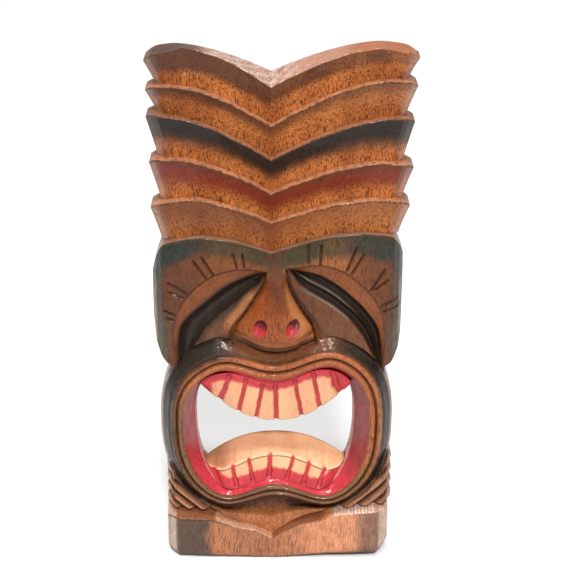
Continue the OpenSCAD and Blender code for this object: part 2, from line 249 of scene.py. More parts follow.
def carved_sheet(name, columns, rows, shape, back=0.0, ring=False):
    """A grid bent to shape(u, v), then taken straight back to the depth of its back and closed.

    shape gives points in millimetres and a wash, red green blue and strength, for each of them.
    A ring's shape brings both edges of the grid to the back itself.
    """
    bpy.ops.object.select_all(action="DESELECT")
    bpy.ops.mesh.primitive_grid_add(x_subdivisions=columns, y_subdivisions=rows, size=1)
    sheet = bpy.context.object
    sheet.name = sheet.data.name = name
    flat = coordinates(sheet.data)
    points, wash = shape(flat[:, 0] + 0.5, 0.5 - flat[:, 1])
    front_count = len(flat)
    sheet.data.vertices.foreach_set("co", (points * MM).ravel())
    layer = sheet.data.color_attributes.new("wash", "FLOAT_COLOR", "POINT")
    layer.data.foreach_set("color", wash.ravel())
    bpy.ops.object.mode_set(mode="EDIT")
    bpy.ops.mesh.select_all(action="SELECT")
    if ring:
        bpy.ops.mesh.remove_doubles(threshold=WELD)
        bpy.ops.mesh.region_to_loop()
        bpy.ops.mesh.bridge_edge_loops()
    else:
        bpy.ops.mesh.region_to_loop()
        bpy.ops.mesh.extrude_edges_move()
        bpy.ops.object.mode_set(mode="OBJECT")
        places = coordinates(sheet.data)
        places[front_count:, 1] = -back * MM
        sheet.data.vertices.foreach_set("co", places.ravel())
        bpy.ops.object.mode_set(mode="EDIT")
        bpy.ops.mesh.edge_face_add()
    bpy.ops.mesh.select_all(action="SELECT")
    bpy.ops.mesh.remove_doubles(threshold=WELD)
    bpy.ops.mesh.dissolve_degenerate(threshold=1e-6)
    bpy.ops.mesh.normals_make_consistent(inside=False)
    bpy.ops.object.mode_set(mode="OBJECT")
    only(sheet)
    bpy.ops.object.shade_smooth_by_angle(angle=SHARP_ANGLE)
    return sheet


def pack_points(x, depth, z):
    return np.column_stack([x, -depth, z])


class Spray:
    """Stains, paint and painted light and shade sprayed over one another: red, green, blue and strength for
    every point.

    A tone is a colour or the name of one of the finish settings.
    """

    def __init__(self, count):
        self.wash = np.zeros((count, 4))

    def __call__(self, tone, strength):
        if isinstance(tone, str):
            tone = getattr(finish(), tone)
        strength = unit(strength)
        old = self.wash[:, 3] * (1 - strength)
        total = old + strength
        safe = maximum(total, 1e-6)
        for c in range(3):
            self.wash[:, c] = (self.wash[:, c] * old + tone[c] * strength) / safe
        self.wash[:, 3] = total


# Dark colour along cuts and crease lines, painted shade under and beside the nose, the brow's stain
# (sprayed heavier on the left as painted shade), painted glints along the right eye's slit, and a pale
# tone for the tiers' end chamfers.
CUT_TONE = (0.045, 0.02, 0.012)
NOSE_SHADE_TONE = (0.04, 0.018, 0.01)
BROW_TONE = (0.108, 0.032, 0.007)
RIGHT_EYE_GLINT_TONE = (0.3, 0.24, 0.19)
PALE_END_TONE = (0.52, 0.36, 0.28)

# The gouged pocket for the hanger: half width, bottom, top and depth, in millimetres.
POCKET = (17, 100, 172, 6)
CLOSE = 0.1
BACK_REACH = 8


def finish_piece(piece, nodes, body, finishes=("wood", "back")):
    """Gives a finished piece its materials, the second one on the sawn back, and puts it in the frame."""
    for name in finishes:
        piece.data.materials.append(material(name))
    if "back" in finishes:
        faces = piece.data.polygons
        normals, centres = np.empty((2, len(faces) * 3))
        faces.foreach_get("normal", normals)
        faces.foreach_get("center", centres)
        x, y, z = (centres.reshape(-1, 3) / MM).T
        back = (normals[1::3] > 0.99) & (abs(y) < BACK_REACH)
        half, bottom, top, deep = POCKET
        in_pocket = (abs(x) < half + CLOSE) & (y > -deep - CLOSE) & (z > bottom - CLOSE) & (z < top + CLOSE)
        back = back | in_pocket
        faces.foreach_set("material_index", back.astype(np.int32))
        piece.data.update()
    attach(piece, body)
    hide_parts(*nodes)


# ---- Materials ----

class Nodes:
    """Short hand for building a node tree."""

    def __init__(self, name):
        self.material = bpy.data.materials.new(name)
        self.material.use_nodes = True
        self.tree = self.material.node_tree
        self.shader = self.tree.nodes["Principled BSDF"]

    def add(self, kind, **inputs):
        return self.set(self.tree.nodes.new(kind), **inputs)

    def set(self, node, **inputs):
        """Feeds a node's sockets, named with _ for a space."""
        for key, value in inputs.items():
            self.feed(node.inputs[key.replace("_", " ")], value)
        return node

    def feed(self, socket, value):
        if isinstance(value, bpy.types.NodeSocket):
            self.tree.links.new(value, socket)
        else:
            socket.default_value = value

    def maths(self, operation, a, b=0.0, c=0.0):
        node = self.tree.nodes.new("ShaderNodeMath")
        node.operation = operation
        for socket, value in zip(node.inputs, (a, b, c)):
            self.feed(socket, value)
        return node.outputs[0]

    def blend(self, amount, a, b, how="MIX"):
        node = self.tree.nodes.new("ShaderNodeMix")
        node.data_type = "RGBA"
        node.blend_type = how
        self.feed(node.inputs[0], amount)
        self.feed(node.inputs[6], a)
        self.feed(node.inputs[7], b)
        return node.outputs[2]

    def range(self, value, low, high, to_low=0.0, to_high=1.0):
        node = self.tree.nodes.new("ShaderNodeMapRange")
        node.interpolation_type = "SMOOTHSTEP"
        for socket, given in zip(node.inputs, (value, low, high, to_low, to_high)):
            self.feed(socket, given)
        return node.outputs[0]

    def noise(self, scale, detail=2.0, roughness=0.5, distortion=0.0):
        """Noise in the block's own coordinates, in cycles a metre along each axis."""
        place = self.tree.nodes.new("ShaderNodeTexCoord")
        mapping = self.add("ShaderNodeMapping", Vector=place.outputs["Object"], Scale=scale)
        node = self.add("ShaderNodeTexNoise", Vector=mapping.outputs[0], Scale=1.0, Detail=detail,
                        Roughness=roughness, Distortion=distortion)
        return node.outputs["Fac"]

    def sprayed(self, shade):
        """The sprayed stain, paint and painted light and shade on the piece: its strength, and its colour
        lightened or darkened by shade.
        """
        coat = self.add("ShaderNodeAttribute")
        coat.attribute_name = "wash"
        colour = self.add("ShaderNodeVectorMath", Vector=coat.outputs["Color"])
        colour.operation = "SCALE"
        self.feed(colour.inputs["Scale"], shade)
        return coat.outputs["Alpha"], colour.outputs[0]

    def bump(self, height, distance, strength, normal=None):
        node = self.add("ShaderNodeBump", Height=height, Distance=distance, Strength=strength)
        if normal is not None:
            self.feed(node.inputs["Normal"], normal)
        return node.outputs[0]


def rgba(tone):
    return (tone[0], tone[1], tone[2], 1)


def grain(nodes):
    """Long dark vessels, fine fibres and slow bands that all run up the block."""
    vessels = nodes.range(nodes.noise((1050, 1050, 130), 0.5, 0.5, 0.1), 0.45, 0.37)
    fine_vessels = nodes.range(nodes.noise((1700, 1700, 230), 0.5, 0.5), 0.46, 0.37)
    fibres = nodes.noise((2300, 2300, 60), 2.0, 0.6)
    bands = nodes.noise((34, 34, 6), 2.0, 0.5, 0.4)
    return vessels, fine_vessels, fibres, bands


def varnished_wood():
    tones = finish()
    nodes = Nodes("varnished_wood")
    vessels, fine_vessels, fibres, bands = grain(nodes)
    tone = nodes.blend(nodes.range(bands, 0.3, 0.68), rgba(tones.wood_mid), rgba(tones.wood_light))
    tone = nodes.blend(nodes.range(fibres, 0.35, 0.7, 0.0, 0.35), tone, rgba(tones.wood_mid))
    pores = nodes.maths("MULTIPLY", fine_vessels, 0.55)
    pores = nodes.maths("MAXIMUM", nodes.maths("MULTIPLY", vessels, 0.8), pores)
    tone = nodes.blend(pores, tone, rgba(tones.wood_dark))
    patch = nodes.range(nodes.noise((160, 160, 90), 3.0, 0.6), 0.25, 0.75, 0.8, 1.12)
    shade = nodes.maths("SUBTRACT", 1.15, nodes.maths("MULTIPLY", pores, 0.45))
    # The sprayed colour laid over the wood: stain and paint, and painted light and shade too.
    strength, stain = nodes.sprayed(nodes.maths("MULTIPLY", shade, patch))
    soaked = nodes.maths("SUBTRACT", 1.0, nodes.maths("MULTIPLY", fine_vessels, 0.12))
    tone = nodes.blend(nodes.maths("MULTIPLY", strength, soaked), tone, stain)
    gloss = nodes.range(nodes.noise((45, 45, 30), 3.0, 0.6), 0.3, 0.7, 0.34, 0.52)
    pitted = nodes.bump(pores, -0.00025, 0.7)
    lumpy = nodes.bump(nodes.noise((210, 210, 60), 2.0, 0.5), 0.0006, 0.5, pitted)
    nodes.set(nodes.shader, Base_Color=tone, Roughness=gloss, Specular_IOR_Level=0.08,
              Coat_Weight=tones.varnish, Coat_Roughness=0.08, Normal=lumpy, Coat_Normal=lumpy)
    return nodes.material


def sawn_wood():
    tones = finish()
    nodes = Nodes("sawn_back")
    vessels, fine_vessels, fibres, bands = grain(nodes)
    pale = tuple(min(1, c * 1.25) for c in tones.raw_wood)
    tone = nodes.blend(nodes.range(bands, 0.3, 0.7), rgba(tones.raw_wood), rgba(pale))
    pores = nodes.maths("MULTIPLY", nodes.maths("MAXIMUM", vessels, fine_vessels), 0.55)
    tone = nodes.blend(pores, tone, (0.14, 0.075, 0.035, 1))
    saw = nodes.noise((60, 60, 900), 2.0, 0.5)
    tone = nodes.blend(nodes.range(saw, 0.35, 0.7, 0.0, 0.25), tone, (0.2, 0.12, 0.065, 1))
    sawn = nodes.bump(saw, 0.0005, 0.8)
    nodes.set(nodes.shader, Base_Color=tone, Roughness=nodes.range(fibres, 0.2, 0.8, 0.72, 0.92),
              Normal=nodes.bump(vessels, -0.0002, 0.6, sawn))
    return nodes.material


def painted_teeth():
    """Bare pale wood where the wash is thin and gloss crimson where it is full."""
    tones = finish()
    nodes = Nodes("painted_teeth")
    vessels, fine_vessels, _, bands = grain(nodes)
    deep = tuple(c * 0.8 for c in tones.tooth_tan)
    tone = nodes.blend(nodes.range(bands, 0.3, 0.7), rgba(deep), rgba(tones.tooth_tan))
    flecks = nodes.range(nodes.noise((330, 330, 60), 2.0, 0.5), 0.4, 0.3, 0.0, 0.3)
    tone = nodes.blend(flecks, tone, (0.5, 0.17, 0.055, 1))
    tone = nodes.blend(nodes.maths("MULTIPLY", fine_vessels, 0.22), tone, (0.35, 0.12, 0.045, 1))
    mottle = nodes.range(nodes.noise((120, 120, 120), 3.0, 0.6), 0.3, 0.7, 0.82, 1.12)
    strength, paint = nodes.sprayed(mottle)
    gloss = nodes.range(strength, 0.2, 0.9, 0.55, 0.3)
    pitted = nodes.bump(vessels, -0.00015, 0.5)
    lumpy = nodes.bump(nodes.noise((260, 260, 90), 2.0, 0.5), 0.0005, 0.45, pitted)
    nodes.set(nodes.shader, Base_Color=nodes.blend(strength, tone, paint), Roughness=gloss,
              Specular_IOR_Level=0.08, Coat_Weight=0.25, Coat_Roughness=0.07, Normal=lumpy)
    return nodes.material


def zinc_steel():
    tones = finish()
    nodes = Nodes("zinc_steel")
    spangle = nodes.noise((420, 420, 420), 3.0, 0.6)
    dull = tuple(c * 0.72 for c in tones.steel)
    tone = nodes.blend(nodes.range(spangle, 0.3, 0.7), rgba(dull), rgba(tones.steel))
    scratch = nodes.noise((2600, 300, 900), 2.0, 0.5)
    nodes.set(nodes.shader, Base_Color=tone, Metallic=1.0, Normal=nodes.bump(scratch, 0.00003, 0.5),
              Roughness=nodes.range(spangle, 0.25, 0.75, 0.26, 0.46))
    return nodes.material


MAKERS = {"wood": varnished_wood, "back": sawn_wood, "teeth": painted_teeth, "steel": zinc_steel}
MATERIALS = {}


def material(name):
    """Each material is made once."""
    if name not in MATERIALS:
        MATERIALS[name] = MAKERS[name]()
    return MATERIALS[name]


# ---- Crown ----

# How far each tier's ends stand past, or short of, the CAD tier's half width: left, right.
TIER_ENDS = ((0.3, -0.3), (0.5, -0.5), (1.5, -1.5), (0.5, -0.5), (1.2, -2.0))
LEDGE_ROWS, EDGE_ROWS = 0.2, 0.3
# The line where the crown's top face meets the back, given like a dividing line.
CROWN_BACK = (226, 26, 88, 28, 100)


def tier_shape(k, u, v):
    """The ledge, its rounded front edge and the scooped face of tier k."""
    size = carving()
    low, high = node_box(f"crown_tier_{k + 1}")
    left = -low[0] + TIER_ENDS[k][0]
    right = high[0] + TIER_ENDS[k][1]
    proud, foot, cut = size.proud_depth / MM, size.foot_depth / MM, size.corner_cut / MM
    edge = 1.1
    top_x = mix(-left, right, u)
    foot_x = mix(-left + TIER_TAPER, right - TIER_TAPER, u)
    ledge, turn, face = down_rows(v, LEDGE_ROWS, EDGE_ROWS)
    x = mix(top_x, foot_x, face)
    end_gap = minimum(x + mix(left, left - TIER_TAPER, face), mix(right, right - TIER_TAPER, face) - x)
    drop = 4.5 * unit(1 - end_gap / 13) ** 2
    top_z = cut_line(k, top_x) - drop
    foot_z = cut_line(k + 1, foot_x) - 0.3
    fall = SIDE_FALL * (x / left) ** 2
    cut_back = np.clip(cut - end_gap, 0, cut) * 1.05
    top_d = proud - fall - cut_back
    foot_d = foot - fall * 0.5 - cut_back * 0.85
    scoop = (1 - face) ** 1.7
    depth = mix(foot_d, top_d, scoop)
    marks = size.tool_mark / MM * ease(0.02, 0.15, face)
    depth = depth + marks * (wobble(x, arch_z(k, x) * 0.3, 17, k) + 0.7 * wobble(x, 12 * face, 8, k + 5))
    z = mix(top_z - edge, foot_z, face)
    rounding = v < EDGE_ROWS
    quarter = turn * pi / 2
    depth = where(rounding, (top_d - edge) * ledge + edge * sin(quarter), depth)
    z = where(rounding, top_z - edge * (1 - cos(quarter)), z)
    if k == 0:
        z = where(rounding, mix(arch_curve(CROWN_BACK, x) - drop, z, ledge), z)
    ledge_dip = 0.5 * wobble(x, depth, 14, k + 7) * ease(0, 0.4, ledge) * (1 - turn)
    z = z + where(rounding, ledge_dip, 0)
    return pack_points(x, depth, z), tier_wash(k, x, face, ledge, turn, end_gap)


def tier_wash(k, x, face, ledge, turn, end_gap):
    """Sprayed bands: each fades down from the tier's proud edge."""
    spray = Spray(len(x))
    on_face = turn >= 1
    uneven = 0.06 * wobble(x, face * 30, 40, k + 20)
    # Painted light: each ledge top lighter towards its front edge, as where light falls on it.
    spray((0.44, 0.2, 0.115), 0.45 * (1 - on_face) * ease(0.2, 0.9, ledge))
    spray("burnt_brown", 0.55 * (1 - on_face) * ease(0.15, 0.45, wobble(x, ledge * 20, 12, k + 40)))
    end_pale = 0.36 * ease(8.0, 3.0, end_gap)
    if k == 0:
        # Partly stain, partly painted shade: the first tier's dark band reaches further down and lies heavier
        # on the left than on the right.
        reach = where(x < NOTCH_X, 0.62, 0.5) + uneven
        amount = where(x < NOTCH_X, 0.88, mix(0.8, 0.45, ease(30, 95, x)))
        over = ease(reach + 0.1, reach - 0.16, face)
        spray("burnt_brown", amount * over * where(on_face, 1, ease(-72, -88, x) + ease(78, 96, x)))
        bare = (1 - on_face) * ease(-80, -62, x) * ease(76, 50, x)
        spray((0.3, 0.155, 0.1), 0.8 * bare)
        # A pale speckle over the left part of the first tier's top face.
        speckle_patches = 0.4 * ease(0, 0.4, wobble(x, 20 * ledge, 9, 72))
        rough_speckle = ease(-0.05, 0.3, wobble(1.6 * x, 26 * ledge, 5, 71)) + speckle_patches
        spray((0.66, 0.52, 0.44), 0.75 * bare * minimum(rough_speckle, 1) * ease(45, 5, x))
        spray((0.46, 0.2, 0.125), 0.6 * bare * ease(-5, 30, x))
        spray("wood_mid", 0.7 * (1 - on_face) * ease(50, 80, x))
        spray("burnt_brown", 0.75 * (1 - on_face) * ease(-62, -80, x))
        knot = ease(14, 4, abs(x - 84 - 5 * face)) * ease(0.75, 0.15, face)
        spray("burnt_brown", 0.62 * on_face * knot)
    if k == 1:
        # Extra brown on the left of the second tier as painted shade.
        spray("burnt_brown", 0.8 * ease(0.55, 0.05, face + uneven) * on_face * ease(40, -60, x))
        spray("burnt_brown", 0.62 * ease(0.5, 0.05, face + uneven) * on_face)
    if k == 2:
        spray("burnt_brown", 0.8 * ease(0.86, 0.42, face + uneven) * on_face)
        spray("black_wash", 0.99 * ease(0.7, 0.3, face + uneven) * on_face)
        spray("black_wash", 0.35 * (1 - on_face) * ease(0.55, 1.0, ledge))
    if k == 3:
        spray("red_wash", 0.92 * ease(0.92, 0.38, face + uneven) * on_face)
        spray("burnt_brown", 0.45 * ease(0.3, 0.0, face) * on_face * ease(-60, 60, abs(x)))
    if k == 4:
        # Extra brown on the left of the fifth tier as painted shade.
        spray("burnt_brown", 0.52 * ease(1.3, 0.1, face + uneven) * on_face * ease(50, -50, x))
        spray((0.15, 0.036, 0.006), 0.56 * ease(1.6, 0.0, face + uneven) * on_face)
    # The end chamfers get a pale tone; on the third tier it is dark above and pale below.
    if k != 2:
        spray(PALE_END_TONE, end_pale * where(on_face, 1, 0.4))
    else:
        spray((0.16, 0.14, 0.12), end_pale * ease(0.75, 0.35, face))
        spray((0.52, 0.34, 0.25), end_pale * ease(0.45, 0.85, face))
    crisp = ease(0.05, 0.55, turn) * ease(0.035, 0.01, face)
    crisp = crisp * (0.55 + 0.45 * ease(-0.3, 0.2, wobble(x, 0, 9, k + 60)))
    spray((0.028, 0.014, 0.009), 0.9 * crisp * (0.3 if k == 0 else 1))
    spray((0.035, 0.016, 0.01), 0.8 * ease(0.975, 1.0, face))
    return spray.wash


class TIKI_OT_crown(bpy.types.Operator):
    """Carves the five tiers of the crown"""
    bl_idname = "tiki.crown"
    bl_label = "Carve Crown"

    def execute(self, context):
        for k in range(5):
            tier = carved_sheet(f"carved_crown_tier_{k + 1}", 300, 62, partial(tier_shape, k))
            if k in (1, 2, 3):
                cut_hanger_pocket(tier)
            finish_piece(tier, [f"crown_tier_{k + 1}"], "mask")
        return {"FINISHED"}


# ---- Face ----

# Each eye's lines, outwards from the nose, and how many gouge cuts run side by side in its slit.
LEFT_EYE = {
    "side": -1,
    "arc": [(-13, 44), (-36, 47), (-51, 45), (-65, 40), (-77, 32), (-87, 22), (-96, 9), (-101, -6),
            (-103, -22), (-102, -40)],
    "slit_top": [(-16, 41), (-27, 39), (-41, 34), (-54, 27), (-70, 14), (-86, 0), (-95, -12), (-98, -28),
                 (-98, -42)],
    "slit_foot": [(-16, 39), (-26, 28), (-40, 15), (-57, 1), (-72, -14), (-82, -30), (-89, -43)],
    "nose_line": [(-14, 44), (-18, 32), (-27, 17), (-36, 3), (-46, -10), (-52, -22)],
    "lashes": [((-46, 62), (-42, 49)), ((-37, 62), (-35, 49)), ((-83, 55), (-71, 38)), ((-75, 59), (-64, 41)),
               ((-107, 33), (-90, 23)), ((-107, 24), (-94, 19)), ((-111, 5), (-101, 1)),
               ((-109, -2), (-103, -4))],
    "gouges": 1,
}
RIGHT_EYE = {
    "side": 1,
    "arc": [(8, 48), (32, 51), (46, 49), (60, 43), (74, 32), (84, 21), (92, 8), (96, -6), (98, -22),
            (97, -38)],
    "slit_top": [(8, 46), (20, 43), (36, 39), (53, 29), (66, 18), (79, 5), (90, -11), (94, -26), (95, -42)],
    "slit_foot": [(8, 44), (14, 33), (22, 23), (46, 8), (65, -8), (77, -23), (86, -40)],
    "nose_line": [(4, 46), (6, 38), (11, 24), (22, 6), (33, -9), (38, -20)],
    "lashes": [((25, 71), (25, 53)), ((37, 71), (36, 52)), ((70, 69), (61, 46)), ((77, 62), (65, 42)),
               ((97, 47), (84, 26)), ((100, 36), (88, 27)), ((109, 18), (94, 10)), ((111, 10), (97, 5))],
    "gouges": 2,
}


def smooth_line(points, steps=6):
    """A flowing line through drawn points."""
    points = [np.array(p, dtype=float) for p in points]
    points = [2 * points[0] - points[1]] + points + [2 * points[-1] - points[-2]]
    line = []
    for a, b, c, d in zip(points, points[1:], points[2:], points[3:]):
        for t in np.arange(steps) / steps:
            square = (2 * a - 5 * b + 4 * c - d) * t ** 2
            cube = (3 * b - a - 3 * c + d) * t ** 3
            line.append(0.5 * (2 * b + (c - a) * t + square + cube))
    return line + [points[-2]]


def nearest(line, x, z):
    """Gap to a line of points, signed by the side of it that a point is on."""
    gap = np.full(x.shape, 1e9)
    signed = np.zeros(x.shape)
    for a, b in zip(line, line[1:]):
        run = b - a
        t = unit(((x - a[0]) * run[0] + (z - a[1]) * run[1]) / (run @ run))
        away = np.hypot(x - a[0] - t * run[0], z - a[1] - t * run[1])
        cross = run[0] * (z - a[1]) - run[1] * (x - a[0])
        nearer = away < gap
        gap = where(nearer, away, gap)
        signed = where(nearer, where(cross > 0, 1, -1) * away, signed)
    return signed


def below(points, x, z, side):
    """How far each point lies below an eye's line, which runs outwards from the nose."""
    line = smooth_line(points)
    line = [line[0] + (line[0] - line[1]) * 30] + line + [line[-1] + (line[-1] - line[-2]) * 60]
    return -side * nearest(line, x, z)


def lash_gaps(eye, x, z):
    """Distance to each lash cut of an eye."""
    for start, end in eye["lashes"]:
        yield abs(nearest([np.array(start, float), np.array(end, float)], x, z))


MOUTH_X, MOUTH_Z = -5.0, -110.0


def soft_power(value):
    return np.sign(value) * abs(value) ** (2 / 2.6)


def mouth_line(half_w, up, dip, down, rise, angle, shift=0.0, tilt=0.0):
    """A point of a squarish mouth outline whose top dips at its middle and whose foot rises there."""
    x = half_w * soft_power(cos(angle))
    swell = where(abs(x) < 62, (1 + cos(pi * np.clip(x / 62, -1, 1))) / 2, 0)
    top = sin(angle) > 0
    z = where(top, up, down) * soft_power(sin(angle)) + where(top, -dip, rise) * swell
    return MOUTH_X + shift + x, MOUTH_Z + z + where(top, tilt * x * sin(angle), 0)


def cheek_line(angle):
    return mouth_line(113, 92, 20, 101, 15, angle)


def bead_line(angle):
    return mouth_line(103, 80, 18, 94, 17, angle, 0, 0.045)


def rim_line(angle):
    return mouth_line(90, 64, 20, 88, 22, angle, 0, 0.045)


def hole_line(angle):
    return mouth_line(77, 62, 22, 86, 24, angle, -2, 0.045)


def line_height(outline, x, top):
    """Height of the top or the bottom half of a mouth outline at x."""
    angles = np.linspace(0.02, pi - 0.02, 400) * (1 if top else -1)
    xs, zs = outline(angles)
    order = np.argsort(xs)
    return interp(x, xs[order], zs[order])


FACE_LEFT, FACE_RIGHT = -122.0, 114.0
FACE_LEDGE, FACE_EDGE = 0.05, 0.09


def eye_depth(eye, x, z, brow, depth):
    """Cuts the lid, the slit and the plane under it, and tells where the slit is."""
    side = eye["side"]
    arc = below(eye["arc"], x, z, side)
    top = below(eye["slit_top"], x, z, side)
    foot = below(eye["slit_foot"], x, z, side)
    nose_gap = abs(nearest(smooth_line(eye["nose_line"]), x, z))
    bridge = nose_edges(nose_share(z))[0 if side < 0 else 1]
    mine = side * (x - bridge) > maximum(z - NOSE_TOP + 1, 0)
    lid_share = unit(arc / maximum(arc - top, 0.01))
    lid = mix(brow - 3.4, brow - 8.0, lid_share ** 1.2)
    across = unit(top / maximum(top - foot, 0.01))
    gouged = abs(sin(pi * across * eye["gouges"])) ** 0.8
    width = unit((top - foot) / 10)
    slit = mix(brow - 9.0, brow - 12.5, across) - 7.0 * width * gouged
    plane = brow - 12.0 - 1.5 * ease(0, 25, foot)
    bevel = 6.5 if side < 0 else 1.5
    plane = plane + bevel * (1 - unit(nose_gap / 7.5))
    cut = mix(depth, lid, ease(-0.3, 1.3, arc))
    cut = cut - 1.3 * unit(1 - abs(arc) / 1.3)
    cut = mix(cut, slit, ease(-0.4, 0.8, top))
    cut = mix(cut, plane, ease(-0.6, 0.9, foot))
    cut = where(mine, cut, depth)
    for gap in lash_gaps(eye, x, z):
        cut = cut - 2.4 * unit(1 - gap / 1.7)
    return cut, where(mine, arc, -50), where(mine, top, -50), where(mine, foot, -50), nose_gap


NOSE_TOP, NOSE_LOW = 47.0, -26.0


def nose_share(z):
    """How far down the nose a height is."""
    return unit((NOSE_TOP - z) / (NOSE_TOP - NOSE_LOW))


def nose_edges(v):
    """Left and right edge of the nose on the face, from the bridge (0) to its lowest corners (1)."""
    z = mix(NOSE_TOP, NOSE_LOW, v)
    left = np.array(smooth_line([(-12.5, 48), (-18, 32), (-27, 17), (-36, 3), (-45, -11), (-47, -27)]))
    right = np.array(smooth_line([(2.5, 48), (6.5, 36), (11, 24), (21, 6), (31, -9), (35, -27)]))
    return interp(-z, -left[:, 1], left[:, 0]), interp(-z, -right[:, 1], right[:, 0])


def brow_marks(x, z):
    """Unevenness that the gouge leaves on the brow and the bridge."""
    return 0.4 * wobble(x, z, 26, 3) + 0.25 * wobble(x, z, 11, 9)


def face_shape(u, v):
    size = carving()
    brow = size.brow_depth / MM
    x = mix(FACE_LEFT, FACE_RIGHT, u)
    left_gap, right_gap = x - FACE_LEFT, FACE_RIGHT - x
    drop = 26 * unit(1 - left_gap / 15) ** 2.6 + 17 * unit(1 - right_gap / 12) ** 1.8
    top_z = cut_line(5, x) - drop
    corner_low = interp(x, [-122, -119.5, -115, -109, -103.4, 97.9, 102.7, 107.6, 111.4, 113.4, 114],
                           [0, -28, -39, -47, -52, -51, -48, -41.7, -32.5, -18, 30])
    foot_z = where((x > -103.4) & (x < 97.9), line_height(cheek_line, x, True), corner_low)
    ledge, turn, face = down_rows(v, FACE_LEDGE, FACE_EDGE)
    edge = 1.3
    z = mix(top_z - edge, foot_z, face)
    gap = minimum(left_gap, right_gap)
    front = brow - 2.5 * ease(50, 118, abs(x - MIDDLE_X)) - 1.5 * np.clip(9 - gap, 0, 9)
    depth = front - 1.2 * ease(9, 0, top_z - z) + brow_marks(x, z)
    depth, arc_l, top_l, foot_l, nose_l = eye_depth(LEFT_EYE, x, z, brow, depth)
    depth, arc_r, top_r, foot_r, nose_r = eye_depth(RIGHT_EYE, x, z, brow, depth)
    edge_left, edge_right = nose_edges(nose_share(z))
    under_nose = (z < NOSE_TOP - 1) & (x > edge_left + 1) & (x < edge_right - 1)
    depth = where(under_nose, minimum(depth, 30.5), depth)
    quarter = turn * pi / 2
    rounding = v < FACE_EDGE
    depth = where(rounding, (front - 1.2 - edge) * ledge + edge * sin(quarter), depth)
    z = where(rounding, top_z - edge * (1 - cos(quarter)), z)

    spray = Spray(len(x))
    patch = 2.2 * wobble(x, z, 40, 4) + 1.2 * wobble(x, z, 13, 6)
    down = top_z - z
    corner = ease(70, 112, abs(x - MIDDLE_X))
    # The brow's stain, sprayed heavier on the left side as painted shade.
    stain_and_left_shade = where(x < 0, 0.9, 0.7) + 0.04 * patch
    spray(BROW_TONE, stain_and_left_shade)
    far_brow = ease(52, 88, abs(x - MIDDLE_X) + 2 * patch) * (arc_l < 0) * (arc_r < 0)
    spray((0.06, 0.018, 0.007), 0.72 * far_brow)
    spray((0.175, 0.045, 0.01), 0.72 * ease(-2, 2, arc_l) + 0.66 * ease(-2, 2, arc_r))
    spray((0.085, 0.036, 0.017), 0.78 * ease(0, 3, foot_l) + 0.74 * ease(0, 3, foot_r))
    side_band = ease(mix(20, 15, ease(-20, 40, z)), 5, gap + 0.8 * patch) * ease(0, 6, -maximum(top_l, top_r))
    spray((0.034, 0.022, 0.014), 0.88 * side_band)
    low_green = side_band * ease(12, -20, z + patch) * where(x < 0, 1, 0.7)
    spray((0.07, 0.068, 0.044), 0.7 * low_green)
    blue = (0.009, 0.02, 0.015)
    olive = (0.022, 0.025, 0.008)
    hue_blue = unit(where(x < 0, 0.25 + 0.75 * ease(-50, -95, x), 0.9 * ease(30, 75, x)))
    reach = where(x < 0, 19 + 12 * corner, 25 + 8 * corner)
    green_edge = ease(reach, 0.58 * reach, down + patch)
    spray(olive, 0.95 * green_edge * (1 - hue_blue))
    spray(blue, 0.96 * green_edge * hue_blue)
    spray("burnt_brown", 0.72 * ease(14, 3, abs(x + 5)) * ease(38, 56, z))
    soft_l = ease(-5.0, 0.5, top_l) * ease(9.0, -1.0, foot_l + 1.5 * patch / 2.2)
    spray("black_wash", 0.97 * soft_l * ease(-136, -118, x) * (nose_l > 2.0))
    soft_r = ease(-1.6, 0.8, top_r) * ease(2.2, -1.2, foot_r)
    ridge = abs(top_r / maximum(top_r - foot_r, 0.01) - 0.5)
    spray("black_wash", 0.96 * soft_r)
    # Painted glints: pale varnish highlights along the ridge between the right slit's two gouges and along
    # its lower edge.
    spray(RIGHT_EYE_GLINT_TONE, 0.55 * soft_r * ease(0.075, 0.02, ridge) * ease(75, 50, x))
    spray(RIGHT_EYE_GLINT_TONE, 0.45 * ease(1.3, 0.3, abs(foot_r)) * ease(72, 55, x) * ease(14, 22, x))
    spray("burnt_brown", 0.7 * ease(1.7, 0.4, abs(arc_l)) * ease(4, 9, left_gap))
    spray("burnt_brown", 0.6 * ease(1.6, 0.4, abs(arc_r)) * ease(4, 9, right_gap))
    lit_strip = ease(9.5, 4.5, nose_l) * ease(-1, 1.5, foot_l) * ease(34, 14, z) * ease(-24, -6, z)
    spray((0.4, 0.155, 0.062), 0.62 * lit_strip)
    # Painted shade: dark along the crease lines where the sides of the nose meet the face.
    nose_crease_shade = ease(1.6, 0.5, nose_l) + ease(1.8, 0.6, nose_r)
    spray((0.05, 0.022, 0.012), 0.85 * nose_crease_shade * ease(45, 36, z))
    for eye in (LEFT_EYE, RIGHT_EYE):
        for lash_gap in lash_gaps(eye, x, z):
            spray(CUT_TONE, 0.85 * ease(1.6, 0.5, lash_gap))
    spray((0.42, 0.34, 0.27), 0.5 * ease(4.5, 2.0, gap) * (1 - 0.5 * green_edge))
    # Painted light: the face panel's top ledge lighter, as where light falls on it.
    spray((0.36, 0.165, 0.095), where(rounding, 0.6 * (1 - turn), 0))
    spray((0.03, 0.022, 0.014), 0.75 * ease(0.1, 0.6, turn) * ease(0.02, 0.006, face))
    return pack_points(x, depth, z), spray.wash


class TIKI_OT_face(bpy.types.Operator):
    """Carves the brow, the lids and the two narrow eyes"""
    bl_idname = "tiki.face"
    bl_label = "Carve Face"

    def execute(self, context):
        face = carved_sheet("carved_face_panel", 330, 170, face_shape)
        finish_piece(face, ["face_panel"], "mask")
        return {"FINISHED"}


# ---- Nose ----

NOSE_SEAT = 30.0
NOSTRILS = ((-20.5, -9.5, 6.6, 8.6), (10.0, -9.5, 6.6, 8.8))


